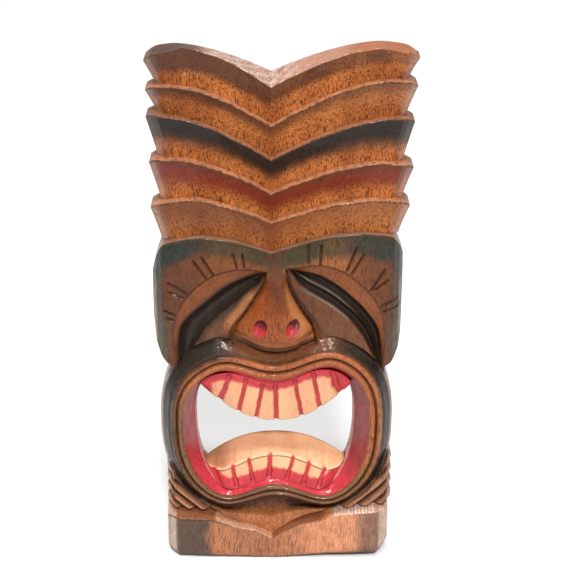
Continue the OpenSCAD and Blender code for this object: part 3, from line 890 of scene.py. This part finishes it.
def nose_shape(u, v):
    left, right = nose_edges(v)
    x = mix(left, right, u)
    foot = line_height(cheek_line, x, True) + 1.5
    z = mix(NOSE_TOP, NOSE_LOW, v) + (foot - NOSE_LOW) * v ** 3
    ridge = mix(45.6, 54, ease(0.0, 0.8, v))
    rim_left = mix(45.2, 38.6, ease(0.0, 0.3, v))
    rim_right = mix(45.2, 34.0, ease(0.0, 0.25, v))
    left_share = unit(u / mix(0.45, 0.3, v))
    left_rise = ease(0.0, 1.0, left_share) * 0.35 + 0.65 * left_share ** 0.8
    right_rise = unit((1 - u) / mix(0.3, 0.24, v))
    depth = minimum(mix(rim_left, ridge, left_rise), mix(rim_right, ridge, right_rise ** 0.9))
    tip = ease(0.86, 0.985, v)
    tucked = 13 * tip ** 1.6 * np.clip((depth - 36) / 14, 0.2, 1)
    depth = depth - 3.2 * ease(0.84, 0.93, v) * (1 - tip) - tucked
    depth = depth + 0.3 * wobble(x, z, 15, 2)
    flush = carving().brow_depth / MM + 0.05 + brow_marks(x, z)
    depth = mix(flush, depth, ease(0.0, 0.16, v))
    spray = Spray(len(x))
    # The brow's stain runs onto the bridge, heavier on the left side as painted shade.
    spray(BROW_TONE, where(x < 0, 0.82, 0.7) * ease(0.25, 0.05, v))
    stained = 0.82 - 0.22 * ease(0.35, 0.9, v) + 0.05 * wobble(x, z, 20, 7)
    spray((0.14, 0.023, 0.003), ease(0.05, 0.25, v) * stained)
    spray((0.2, 0.044, 0.01), 0.35 * ease(0.5, 0.3, u))
    spray("burnt_brown", 0.72 * ease(14, 3, abs(x + 5 - 0.05 * (44 - z))) * ease(-14, 30, z))
    lit_side = ease(0.7, 0.84, u) * ease(0.98, 0.93, u) * ease(0.08, 0.35, v) * ease(0.9, 0.8, v)
    spray((0.46, 0.185, 0.07), 0.62 * lit_side)
    # The same painted light, as a lighter band on the rounded lower edge of the nose.
    spray((0.46, 0.18, 0.07), 0.62 * ease(0.87, 0.91, v) * ease(0.975, 0.94, v))
    # Painted shade: dark on the tucked underside at the foot of the nose and along the crease line down its
    # left edge.
    spray(NOSE_SHADE_TONE, 0.85 * ease(0.955, 0.985, v))
    spray(NOSE_SHADE_TONE, 0.8 * ease(0.035, 0.01, u) * ease(0.1, 0.25, v))
    spray("burnt_brown", 0.55 * ease(0.16, 0.02, u) * ease(0.8, 0.95, v))
    for centre_x, centre_z, half_w, half_h in NOSTRILS:
        away = np.hypot((x - centre_x - 0.18 * (z - centre_z)) / half_w, (z - centre_z) / half_h)
        hollow = unit(1 - away ** 2.2)
        depth = depth - hollow * (3.5 + 3.0 * ease(centre_z - half_h, centre_z + half_h, z))
        inside = ease(1.06, 0.92, away)
        spray((0.33, 0.018, 0.024), 0.97 * inside)
        # Painted shade: the upper right of each nostril's hollow darker.
        spray((0.04, 0.008, 0.007), 0.9 * inside * ease(centre_z - 3, centre_z + 5, z + 0.5 * (x - centre_x)))
    return pack_points(x, depth, z), spray.wash


class TIKI_OT_nose(bpy.types.Operator):
    """Carves the broad nose with its painted nostrils"""
    bl_idname = "tiki.nose"
    bl_label = "Carve Nose"

    def execute(self, context):
        nose = carved_sheet("carved_nose", 150, 140, nose_shape, NOSE_SEAT)
        finish_piece(nose, ["nose"], "mask", ["wood"])
        return {"FINISHED"}


# ---- Mouth ----

# The lip's section, from the back of the cheek to the back of the hole: place across (0 cheek,
# 1 bead, 2 rim, 3 hole), which depth it is measured from, and how far past that.
LIP_SECTION = (
    (0.0, 0.0, "back", 0), (0.08, 0.0, "cheek", 0), (0.12, 0.22, "cheek", 3.5), (0.23, 0.8, "lip", -7.5),
    (0.27, 0.94, "lip", -6.0), (0.3, 1.02, "lip", -5.0), (0.33, 1.08, "lip", -2.4), (0.37, 1.17, "lip", -0.5),
    (0.41, 1.27, "lip", 0.0), (0.45, 1.36, "lip", -0.6), (0.48, 1.43, "lip", -2.4), (0.51, 1.5, "lip", -5.0),
    (0.54, 1.56, "lip", -3.4), (0.58, 1.64, "lip", -1.6), (0.62, 1.74, "lip", -1.2),
    (0.67, 1.86, "lip", -1.9), (0.71, 1.95, "lip", -3.2), (0.74, 2.0, "lip", -5.6),
    (0.86, 2.86, "wall", 0.8), (0.89, 3.0, "wall", 0), (1.0, 3.0, "back", 0),
)
BANK_SLOPE = 1.0


def lip_shape(u, v):
    size = carving()
    angle = 2 * pi * u
    lines = [line(angle) for line in (cheek_line, bead_line, rim_line, hole_line)]
    side = abs(cos(angle)) ** 3
    level = np.zeros(u.shape)
    depths = {"back": level, "cheek": mix(31, 24, side), "lip": level + size.lip_depth / MM,
              "wall": mix(38, 8, side)}
    stops = [row[0] for row in LIP_SECTION]
    across = interp(v, stops, [row[1] for row in LIP_SECTION])
    step = np.clip(np.searchsorted(stops, v, side="right") - 1, 0, len(stops) - 2)
    heights = np.array([depths[kind] + past for _, _, kind, past in LIP_SECTION])
    cheek, bead = cheek_line(angle), bead_line(angle)
    bank = 0.58 * np.hypot(cheek[0] - bead[0], cheek[1] - bead[1])
    heights[2] = mix(heights[2], heights[3] - BANK_SLOPE * bank, ease(0.35, 0.75, sin(angle)))
    low = np.array(stops)[step]
    t = (v - low) / (np.array(stops)[step + 1] - low)
    every = np.arange(len(u))
    depth = mix(heights[step, every], heights[step + 1, every], t)
    strip = np.clip(np.floor(across).astype(int), 0, 2)
    xs, zs = np.array([line[0] for line in lines]), np.array([line[1] for line in lines])
    x = mix(xs[strip, every], xs[strip + 1, every], across - strip)
    z = mix(zs[strip, every], zs[strip + 1, every], across - strip)
    on_front = ease(0.09, 0.14, v) * ease(0.88, 0.84, v)
    depth = depth + on_front * (0.35 * wobble(x, z, 24, 5) + 0.22 * wobble(x, z, 9, 12))

    spray = Spray(len(x))
    sine, cosine = sin(angle), cos(angle)
    top = ease(-0.1, 0.75, sine)
    bottom = ease(-0.1, -0.7, sine)
    flank = 1 - maximum(top, bottom)
    patch = 0.1 * wobble(x, z, 30, 14)
    spray((0.25, 0.072, 0.03), 0.7 * top * ease(0.95, 1.05, across))
    umber = 0.8 * bottom + flank * where(cosine < 0, 0.8, 0.22)
    spray((0.08, 0.048, 0.028), umber * ease(0.9, 1.1, across))
    grooves = maximum(ease(0.12, 0.02, abs(across - 1.5)), ease(0.14, 0.03, abs(across - 1.00)))
    grooves = grooves * (0.8 + 0.2 * wobble(x, z, 7, 4))
    outer = ease(1.1, 0.92, across + patch - 0.12 * ease(0.1, 0.5, -cosine))
    corners = maximum(ease(0.12, 0.5, -cosine), ease(0.22, 0.6, cosine)) * ease(-0.98, -0.6, sine)
    spray((0.08, 0.03, 0.014), 0.78 * outer)
    wide = ease(1.45, 1.15, across + patch) * ease(0.15, 0.45, -cosine) * ease(-0.95, -0.5, sine)
    spray("black_wash", 0.98 * maximum(outer * corners, 0.75 * wide))
    spray("black_wash", 0.6 * outer * bottom)
    spray((0.04, 0.02, 0.012), 0.85 * grooves)
    spray((0.4, 0.31, 0.25), 0.7 * ease(0.3, 0.14, across) * ease(0.78, 0.96, abs(cosine)))
    gum = ease(1.985, 2.03, across + 0.03 * wobble(x, z, 12, 2))
    spray("crimson", 0.98 * gum)
    spray((0.2, 0.02, 0.026), 0.62 * gum * ease(0.45, 0.85, -cosine) * ease(-0.6, 0.0, sine))
    shaded = gum * ease(0.55, 0.85, cosine) * ease(-0.75, -0.35, sine)
    spray((0.17, 0.03, 0.03), 0.75 * shaded)
    spray((0.42, 0.26, 0.22), 0.65 * ease(2.8, 2.96, across) * ease(0.5, 0.8, abs(cosine)))
    return pack_points(x, depth, z), spray.wash


# The painted grooves between the teeth: x at the gum and x at the biting edge.
UPPER_GROOVES = ((-50, -59), (-33.7, -41.8), (-18, -24.6), (-6.4, -5), (11.8, 19.4), (30, 36.6), (47, 53.8))
LOWER_GROOVES = ((-60, -66.7), (-43.7, -48.5), (-27.5, -32.2), (-12.6, -11.2), (4.1, 11.8), (20.4, 27.1),
                 (35.7, 42.4))
GUM_DEPTH, BITE_DEPTH = 38.0, 34.0
UPPER_END, LOWER_END = 32.0, 20.0


def tooth_grooves(grooves, x, along, gap):
    """How far into a groove each point is: 1 at its middle, 0 outside."""
    sunk = np.zeros(x.shape)
    for k, (gum_x, bite_x) in enumerate(grooves):
        middle = mix(gum_x, bite_x, along) + 0.45 * wobble(40 * along, 13 * k, 21, k)
        width = gap * (0.92 + 0.16 * sin(2.3 * k + 1))
        sunk = maximum(sunk, unit(1 - abs(x - middle) / (width / 2 + 0.5)))
    return sunk


def teeth_shape(upper, u, v):
    """A row of teeth: gum, front, biting edge and the plane that runs from it to the back."""
    first, last = (150, 30) if upper else (210, 330)
    grooves = UPPER_GROOVES if upper else LOWER_GROOVES
    front_rows, edge_rows = (0.7, 0.76) if upper else (0.52, 0.57)
    size = carving()
    ends = hole_line(np.radians([first, last]))
    x = mix(ends[0][0], ends[0][1], u)
    gum_z = line_height(hole_line, x, upper)
    middle = MOUTH_X - 1
    if upper:
        bite_z = minimum(-111 + 34 * (abs(x - middle) / 66) ** 2.2, gum_z - 1)
        back_z = bite_z + 2
    else:
        back_z = maximum(-137 - 27 * (abs(x - middle) / 70) ** 2.2, gum_z + 3)
        outward = abs(2 * u - 1)
        bite_z = maximum(mix(back_z, gum_z, 0.32 + 0.25 * outward ** 2 + 0.42 * outward ** 10), gum_z + 1.0)
    along = unit(v / front_rows)
    turn = unit((v - front_rows) / (edge_rows - front_rows))
    under = unit((v - edge_rows) / (1 - edge_rows))
    sign = -1 if upper else 1
    edge = 0.8
    sunk = tooth_grooves(grooves, x, along, size.tooth_gap / MM)
    valley = minimum(sunk * 2.2, 1) * ease(0.0, 0.12, along)
    belly = 1.3 * sin(pi * along) ** 0.8
    front = mix(GUM_DEPTH, BITE_DEPTH, along) + belly - 2.6 * valley
    front = front + 0.3 * wobble(x, 30 * along, 13, 4 + upper)
    lip_d = BITE_DEPTH - 2.6 * valley
    past_edge = where(turn < 1, lip_d - edge * (1 - cos(turn * pi / 2)), (lip_d - edge) * (1 - under))
    depth = where(along < 1, front, past_edge)
    z = mix(gum_z, bite_z - sign * edge, along)
    z = where(turn > 0, bite_z - sign * edge * (1 - sin(turn * pi / 2)), z)
    z = where(under > 0, mix(bite_z, back_z, under), z)
    z = z + where(under > 0, 0.5 * wobble(x, 34 * under, 22, 8) * sin(pi * under), 0)
    z = z - sign * 0.3 * valley * ease(0.7, 1.0, along) * (1 - ease(0, 0.2, under))

    bend = ease(0.62, 1.0, abs(2 * u - 1)) ** 1.5
    depth = depth * mix(1, (UPPER_END if upper else LOWER_END) / GUM_DEPTH, bend)
    x = x + (np.sign(u - 0.5) * 6.5 * bend * depth / GUM_DEPTH if upper else 0)
    spray = Spray(len(x))
    height = abs(z - gum_z)
    deep = (7.2 if upper else 11.5) + 1.4 * wobble(x, z, 17, 9)
    fade = ease(deep + 2.6, deep - 1.4, height)
    if upper:
        fade = maximum(fade, ease(44, 50, x) * ease(21, 15, height))
        fade = maximum(fade, ease(-64, -70, x))
    else:
        fade = maximum(fade, ease(54, 62, x))
    on_front = turn < 1
    if not upper:
        spray((0.3, 0.115, 0.05), 0.8 * ease(-40, -66, x + 0.3 * (z + 150)) * where(on_front, 0.3, 1))
        spray((0.9, 0.5, 0.26), 0.35 * ease(-10, 50, x) * (under > 0))
        spray((0.96, 0.62, 0.38), 0.5 * (turn >= 1) * ease(0.16, 0.02, under))
    gum = fade * where(on_front, 1, 0.6 if upper else 0)
    groove = ease(0.3, 0.52, sunk) * where(under > 0, ease(0.12, 0.0, under), 1)
    spray("crimson", 0.97 * maximum(gum, groove))
    spray((0.2, 0.01, 0.018), 0.55 * ease(0.25, 0.45, sunk) * ease(0.72, 0.5, sunk) * on_front)
    if not upper:
        spray((0.085, 0.04, 0.022), 0.8 * ease(0.965, 0.99, along) * (turn < 0.5) * ease(0.3, 0.1, sunk))
    else:
        spray((0.16, 0.07, 0.035), 0.7 * ease(0.0, 0.4, turn) * ease(0.3, 0.1, sunk))
    rim = ease(0.93, 1.0, under)
    spray((0.12, 0.06, 0.035), 0.6 * rim)
    return pack_points(x, depth, z), spray.wash


class TIKI_OT_mouth(bpy.types.Operator):
    """Carves the beaded lips and both rows of teeth"""
    bl_idname = "tiki.mouth"
    bl_label = "Carve Mouth"

    def execute(self, context):
        lips = carved_sheet("carved_lip_ring", 540, 110, lip_shape, ring=True)
        finish_piece(lips, ["lip_ring"], "mask")
        for upper, node in ((True, "upper_teeth"), (False, "lower_teeth")):
            teeth = carved_sheet(f"carved_{node}", 330, 80, partial(teeth_shape, upper))
            finish_piece(teeth, [node], "mask", ["teeth", "back"])
        return {"FINISHED"}


# ---- Leaves, chin and foot ----

FOOT_LEFT, FOOT_RIGHT = BASE_LOW[0], BASE_HIGH[0]
# Where the chin starts and ends round the cheek line.
CHIN_ENDS = np.radians([245, 295])


def leaves_shape(side, u, v):
    """Four overlapping leaf tips between the lip and the block's outer edge."""
    outer = FOOT_LEFT if side < 0 else FOOT_RIGHT + 3
    top_z = -158.0 if side < 0 else -148.0
    foot_angle = CHIN_ENDS[0 if side < 0 else 1]
    top_angle = radians(200 if side < 0 else 345)
    shoulder_z = float(chevron_z(CHEVRON_BACK, outer))
    pitch = (top_z - shoulder_z) / 4
    angle = mix(top_angle, foot_angle, v)
    inner_x, inner_z = cheek_line(angle)
    outer_z = mix(top_z, shoulder_z, v)
    step = (top_z - outer_z) / pitch
    part = step - np.floor(step)
    scallop = 3.5 * ease(0.35, 0.85, part) * ease(1.0, 0.9, part) + 1.2 * ease(0.2, 0.0, part)
    scallop = where(v > 0.999, 0, scallop)
    outer_x = outer - side * scallop
    lean = 7 * sin(pi * u) * sin(pi * v)
    x = mix(inner_x, outer_x, u)
    z = mix(inner_z, outer_z, u) - lean * 0.4
    z = mix(z, chevron_z(CHEVRON_BACK, x), ease(0.78, 1.0, v))
    drift = (top_z - z - 0.85 * abs(outer - x)) / pitch + 6
    lobe = drift - np.floor(drift)
    swell = sin(pi * unit(lobe * 1.25)) ** 0.6
    depth = 33 + 7 * swell - 4.5 * u ** 2 + 1.5 * v
    gap = abs(outer_x - x)
    depth = depth - 1.7 * np.clip(6 - gap, 0, 6)
    depth = depth + 0.35 * wobble(x, z, 9, 3 + side)
    spray = Spray(len(x))
    spray((0.14, 0.085, 0.06), 0.62)
    spray((0.4, 0.2, 0.12), 0.45 * ease(0.15, 0.45, lobe) * ease(0.75, 0.5, lobe))
    spray((0.03, 0.02, 0.015), 0.8 * maximum(ease(0.8, 0.92, lobe), ease(0.1, 0.02, lobe)))
    spray((0.3, 0.115, 0.065), 0.55 * ease(0.8, 1.0, v))
    spray((0.5, 0.38, 0.31), 0.45 * ease(4.5, 2.0, gap))
    return pack_points(x, depth, z), spray.wash


# The shoulder line of the foot, where it meets the back and at its front.
CHEVRON_BACK = ((-110, -203), (-64, -204.3), (-58.5, -212.5), (-31, -223), (-10, -233), (8, -220), (23, -212),
                (38, -208), (50, -203), (96, -199))
CHEVRON_FRONT = ((-110, -211.5), (-68, -212), (-41, -220.5), (-26, -223), (-10, -231.5), (18, -216.5),
                 (38, -212.5), (56, -206), (96, -204))


def chevron_z(points, x):
    points = np.array(points)
    return interp(x, points[:, 0], points[:, 1])


def chin_shape(u, v):
    foot = cheek_line(CHIN_ENDS)[0]
    x = mix(foot[0], foot[1], u)
    top_z = line_height(cheek_line, x, False)
    foot_z = minimum(chevron_z(CHEVRON_BACK, x) - 0.5, top_z - 0.5)
    z = mix(top_z, foot_z, v)
    facet = ease(0.42, 0.52, v + 0.04 * wobble(x, z, 18, 3))
    depth = mix(25.5, 33.0, facet) + 3.0 * v * facet - 1.5 * ease(0.35, 0.0, v) + 0.4 * wobble(x, z, 14, 6)
    spray = Spray(len(x))
    spray((0.21, 0.07, 0.028), 0.6)
    # Painted shadow: black in the chin's recess just under the lip, right of the middle.
    shadow = ease(0.6, 0.42, v) * ease(0, 12, x) * ease(44, 30, x)
    spray("black_wash", 0.95 * shadow)
    spray("burnt_brown", 0.75 * ease(0.5, 0.3, v))
    spray((0.38, 0.135, 0.052), 0.62 * facet * ease(60, 25, abs(x + 8)))
    spray(CUT_TONE, 0.7 * ease(0.95, 1.0, v))
    return pack_points(x, depth, z), spray.wash


BASE_LEDGE, BASE_EDGE = 0.24, 0.3


def base_shape(u, v):
    x = mix(FOOT_LEFT, FOOT_RIGHT, u)
    left_gap, right_gap = x - FOOT_LEFT, FOOT_RIGHT - x
    gap = minimum(left_gap, right_gap)
    back_z = chevron_z(CHEVRON_BACK, x)
    ribs = abs(sin(pi * x / 3.4 + 0.4 * sin(x))) * ease(48, 54, x) * ease(96, 90, x)
    top_z = chevron_z(CHEVRON_FRONT, x) - 2.0 * unit(1 - gap / 8) ** 2
    corner_l, corner_r = unit(1 - left_gap / 11), unit(1 - right_gap / 15)
    foot_z = BASE_LOW[2] + 0.4 + interp(x, [-110, -60, -5, 45, 100], [2.4, 1.6, 0, 4.2, 4.6])
    foot_z = foot_z + 6 * corner_l ** 2.6 + 11 * corner_r ** 2.4
    ledge, turn, face = down_rows(v, BASE_LEDGE, BASE_EDGE)
    edge = 1.2
    proud = -BASE_LOW[1] - 1.0 - 1.1 * np.clip(12 - gap, 0, 12) - 2 * ease(60, 110, abs(x - MIDDLE_X))
    marks = 0.3 * wobble(x, 0, 30, 4) + 0.2 * wobble(x, 14 * face, 11, 2)
    front = proud + marks - 1.2 * ease(0.9, 1.0, face)
    quarter = turn * pi / 2
    rounding = v < BASE_EDGE
    seat = 20.0
    depth = where(rounding, mix(0, proud - edge, ledge ** 0.8) + edge * sin(quarter), front)
    depth = where(v <= 0, 0, depth)
    slope = unit((depth - seat) / maximum(proud - seat, 1))
    shoulder = mix(back_z, top_z, slope) - edge * (1 - cos(quarter)) + ribs * slope * (1 - turn)
    z = where(rounding, shoulder, mix(top_z - edge, foot_z, face))

    spray = Spray(len(x))
    on_face = turn >= 1
    patch = 3.0 * wobble(x, 30 * face, 34, 5)
    dark_left = ease(-66, -76, x + patch) * on_face
    dark_right = ease(68, 84, x + patch) * on_face
    spray((0.23, 0.1, 0.056), 0.66 * on_face)
    spray((0.55, 0.235, 0.12), 0.62 * on_face * ease(0, 40, x + patch))
    spray((0.05, 0.034, 0.027), 0.92 * dark_left)
    spray((0.1, 0.062, 0.047), 0.8 * dark_right)
    spray((0.06, 0.04, 0.032), 0.55 * ease(0.8, 1.0, face) * ease(40, 90, abs(x - MIDDLE_X)))
    on_ledge = 1 - on_face
    # Painted light: the left arm of the ledge lighter, as where light falls on it, broken by a rough speckle.
    rough_speckle = 0.6 + 0.4 * ease(-0.2, 0.3, wobble(x, 20 * ledge, 6, 33))
    lit_left_ledge = on_ledge * ease(NOTCH_X + 1, NOTCH_X - 1, x) * ease(-68, -62, x)
    spray((0.62, 0.36, 0.24), 0.72 * rough_speckle * lit_left_ledge)
    spray((0.15, 0.055, 0.032), 0.75 * on_ledge * ease(-62, -68, x))
    spray((0.15, 0.05, 0.025), 0.78 * on_ledge * ease(NOTCH_X, NOTCH_X + 2, x) * ease(46, 38, x))
    # Painted glints: pale highlights on the ribs of the right shoulder.
    rib_glints = ease(44, 50, x) * ease(99, 95, x) * (0.25 + 0.75 * ribs)
    spray((0.56, 0.46, 0.4), 0.8 * on_ledge * rib_glints)
    spray((0.56, 0.4, 0.31), 0.6 * ease(10.5, 7.0, gap))
    spray((0.055, 0.03, 0.02), 0.75 * ease(0.955, 0.985, face))
    spray(CUT_TONE, 0.75 * ease(0.2, 0.7, turn) * ease(0.04, 0.01, face) * ease(-40, -60, x))
    return pack_points(x, depth, z), spray.wash


class TIKI_OT_foot(bpy.types.Operator):
    """Carves the side leaves, the chin and the foot"""
    bl_idname = "tiki.foot"
    bl_label = "Carve Foot"

    def execute(self, context):
        for side, node in ((-1, "leaves_left"), (1, "leaves_right")):
            leaves = carved_sheet(f"carved_{node}", 50, 120, partial(leaves_shape, side))
            finish_piece(leaves, [node], "mask")
        chin = carved_sheet("carved_chin", 200, 50, chin_shape)
        finish_piece(chin, ["chin"], "mask")
        base = carved_sheet("carved_base_block", 320, 90, base_shape)
        finish_piece(base, ["base_block"], "mask")
        return {"FINISHED"}


# ---- Hanger ----

def cut_hanger_pocket(tier):
    """Takes the gouged pocket for the hanger out of a tier's back."""
    half, bottom, top, deep = POCKET
    bpy.ops.object.select_all(action="DESELECT")
    bpy.ops.mesh.primitive_cube_add(size=1)
    cutter = bpy.context.object
    wanted = np.array([2 * half, deep + 1, top - bottom])
    centre = np.array([0, (1 - deep) / 2, (bottom + top) / 2])
    corners = coordinates(cutter.data) * wanted + centre
    cutter.data.vertices.foreach_set("co", (corners * MM).ravel())
    bpy.ops.object.mode_set(mode="EDIT")
    bpy.ops.mesh.select_all(action="SELECT")
    bpy.ops.mesh.normals_make_consistent(inside=False)
    bpy.ops.object.mode_set(mode="OBJECT")
    only(tier)
    pocket = tier.modifiers.new("Pocket", "BOOLEAN")
    pocket.object = cutter
    pocket.operation = "DIFFERENCE"
    pocket.solver = "EXACT"
    bpy.ops.object.modifier_apply(modifier=pocket.name)
    bpy.data.objects.remove(cutter)


class TIKI_OT_hanger(bpy.types.Operator):
    """Gives the strap, the ring and the screws their zinc finish"""
    bl_idname = "tiki.hanger"
    bl_label = "Finish Hanger"

    def execute(self, context):
        for node in ("hanger_strap", "hanger_ring", "hanger_screws"):
            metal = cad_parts[node]
            metal.data.materials.clear()
            metal.data.materials.append(material("steel"))
        return {"FINISHED"}


# ---- Stage ----

FLOOR_GAP = 0.0005
TARGET = Vector((-0.0045, -0.025, 0))
STRIP_PLACE = Vector((-0.15, -0.5, 1.55))
STRIP_AIM = Vector((0, -0.03, 0)) - STRIP_PLACE
KEY_AIM = Vector((-0.06, 0.745, -0.66))


def add_light(name, kind, place, aim, **settings):
    """A light that shines from its place along aim."""
    light = bpy.data.lights.new(name, kind)
    for key, value in settings.items():
        setattr(light, key, value)
    lamp = bpy.data.objects.new(name, light)
    bpy.context.collection.objects.link(lamp)
    lamp.location = place
    lamp.rotation_euler = aim.to_track_quat("-Z", "Y").to_euler()


class TIKI_OT_stage(bpy.types.Operator):
    """Sets up the pale floor, the soft light and the camera"""
    bl_idname = "tiki.stage"
    bl_label = "Set Stage"

    def execute(self, context):
        scene = context.scene
        stage = scene.tiki_stage
        bpy.ops.object.select_all(action="DESELECT")
        bpy.ops.mesh.primitive_plane_add(size=16, location=(0, 0, 0))
        floor = context.object
        floor.name = "floor"
        floor.data.transform(Matrix.Translation((0, 0, CAD_BOX[0][2] - FLOOR_GAP)))
        paper = Nodes("pale_floor")
        cloud = paper.noise((3, 3, 3), 2.0, 0.5)
        tone = paper.blend(cloud, rgba((0.9, 0.9, 0.9)), rgba((0.92, 0.92, 0.92)))
        paper.set(paper.shader, Base_Color=tone, Roughness=0.9, Specular_IOR_Level=0.1)
        floor.data.materials.append(paper.material)

        camera = bpy.data.objects.new("camera", bpy.data.cameras.new("camera"))
        context.collection.objects.link(camera)
        up, away = stage.camera_height, stage.camera_distance
        camera.location = TARGET + Vector((0, -away * cos(up), away * sin(up)))
        camera.rotation_euler = (pi / 2 - up, 0, 0)
        camera.data.lens = stage.lens
        camera.data.sensor_width = 36
        camera.data.shift_x = 0.019
        camera.data.shift_y = 0.038
        camera.data.clip_start = 0.01
        camera.data.clip_end = 50
        scene.camera = camera

        world = bpy.data.worlds.new("room")
        world.use_nodes = True
        background = world.node_tree.nodes["Background"]
        background.inputs["Color"].default_value = (1, 1, 1, 1)
        background.inputs["Strength"].default_value = stage.room_light
        scene.world = world
        add_light("key", "SUN", (0, 0, 0), KEY_AIM, energy=stage.key_power, angle=radians(11))
        add_light("overhead_strip", "AREA", STRIP_PLACE, STRIP_AIM, shape="RECTANGLE", size=0.8, size_y=0.1,
                  energy=stage.strip_power)
        scene.view_settings.view_transform = "Standard"
        scene.view_settings.look = "None"
        return {"FINISHED"}


# ---- Add-on ----

class TIKI_PT_panel(bpy.types.Panel):
    """Lists the pieces and the settings"""
    bl_idname = "TIKI_PT_panel"
    bl_label = "Tiki Mask"
    bl_space_type = "VIEW_3D"
    bl_region_type = "UI"
    bl_category = "Tiki Mask"

    def draw(self, context):
        for operator in OPERATORS:
            self.layout.operator(operator.bl_idname)
        for group in (context.scene.tiki_carving, context.scene.tiki_finish, context.scene.tiki_stage):
            box = self.layout.box()
            for name in group.__annotations__:
                box.prop(group, name)


OPERATORS = (TIKI_OT_stage, TIKI_OT_crown, TIKI_OT_face, TIKI_OT_nose, TIKI_OT_mouth, TIKI_OT_foot,
             TIKI_OT_hanger)
GROUPS = (("tiki_carving", TIKI_PG_carving), ("tiki_finish", TIKI_PG_finish), ("tiki_stage", TIKI_PG_stage))


def register():
    for name, group in GROUPS:
        bpy.utils.register_class(group)
        setattr(bpy.types.Scene, name, bpy.props.PointerProperty(type=group))
    for operator in OPERATORS:
        bpy.utils.register_class(operator)
    bpy.utils.register_class(TIKI_PT_panel)


def unregister():
    bpy.utils.unregister_class(TIKI_PT_panel)
    for operator in reversed(OPERATORS):
        bpy.utils.unregister_class(operator)
    for name, group in reversed(GROUPS):
        delattr(bpy.types.Scene, name)
        bpy.utils.unregister_class(group)


def main():
    register()
    bpy.ops.tiki.stage()
    bpy.ops.tiki.crown()
    bpy.ops.tiki.face()
    bpy.ops.tiki.nose()
    bpy.ops.tiki.mouth()
    bpy.ops.tiki.foot()
    bpy.ops.tiki.hanger()


if __name__ == "__main__":
    main()
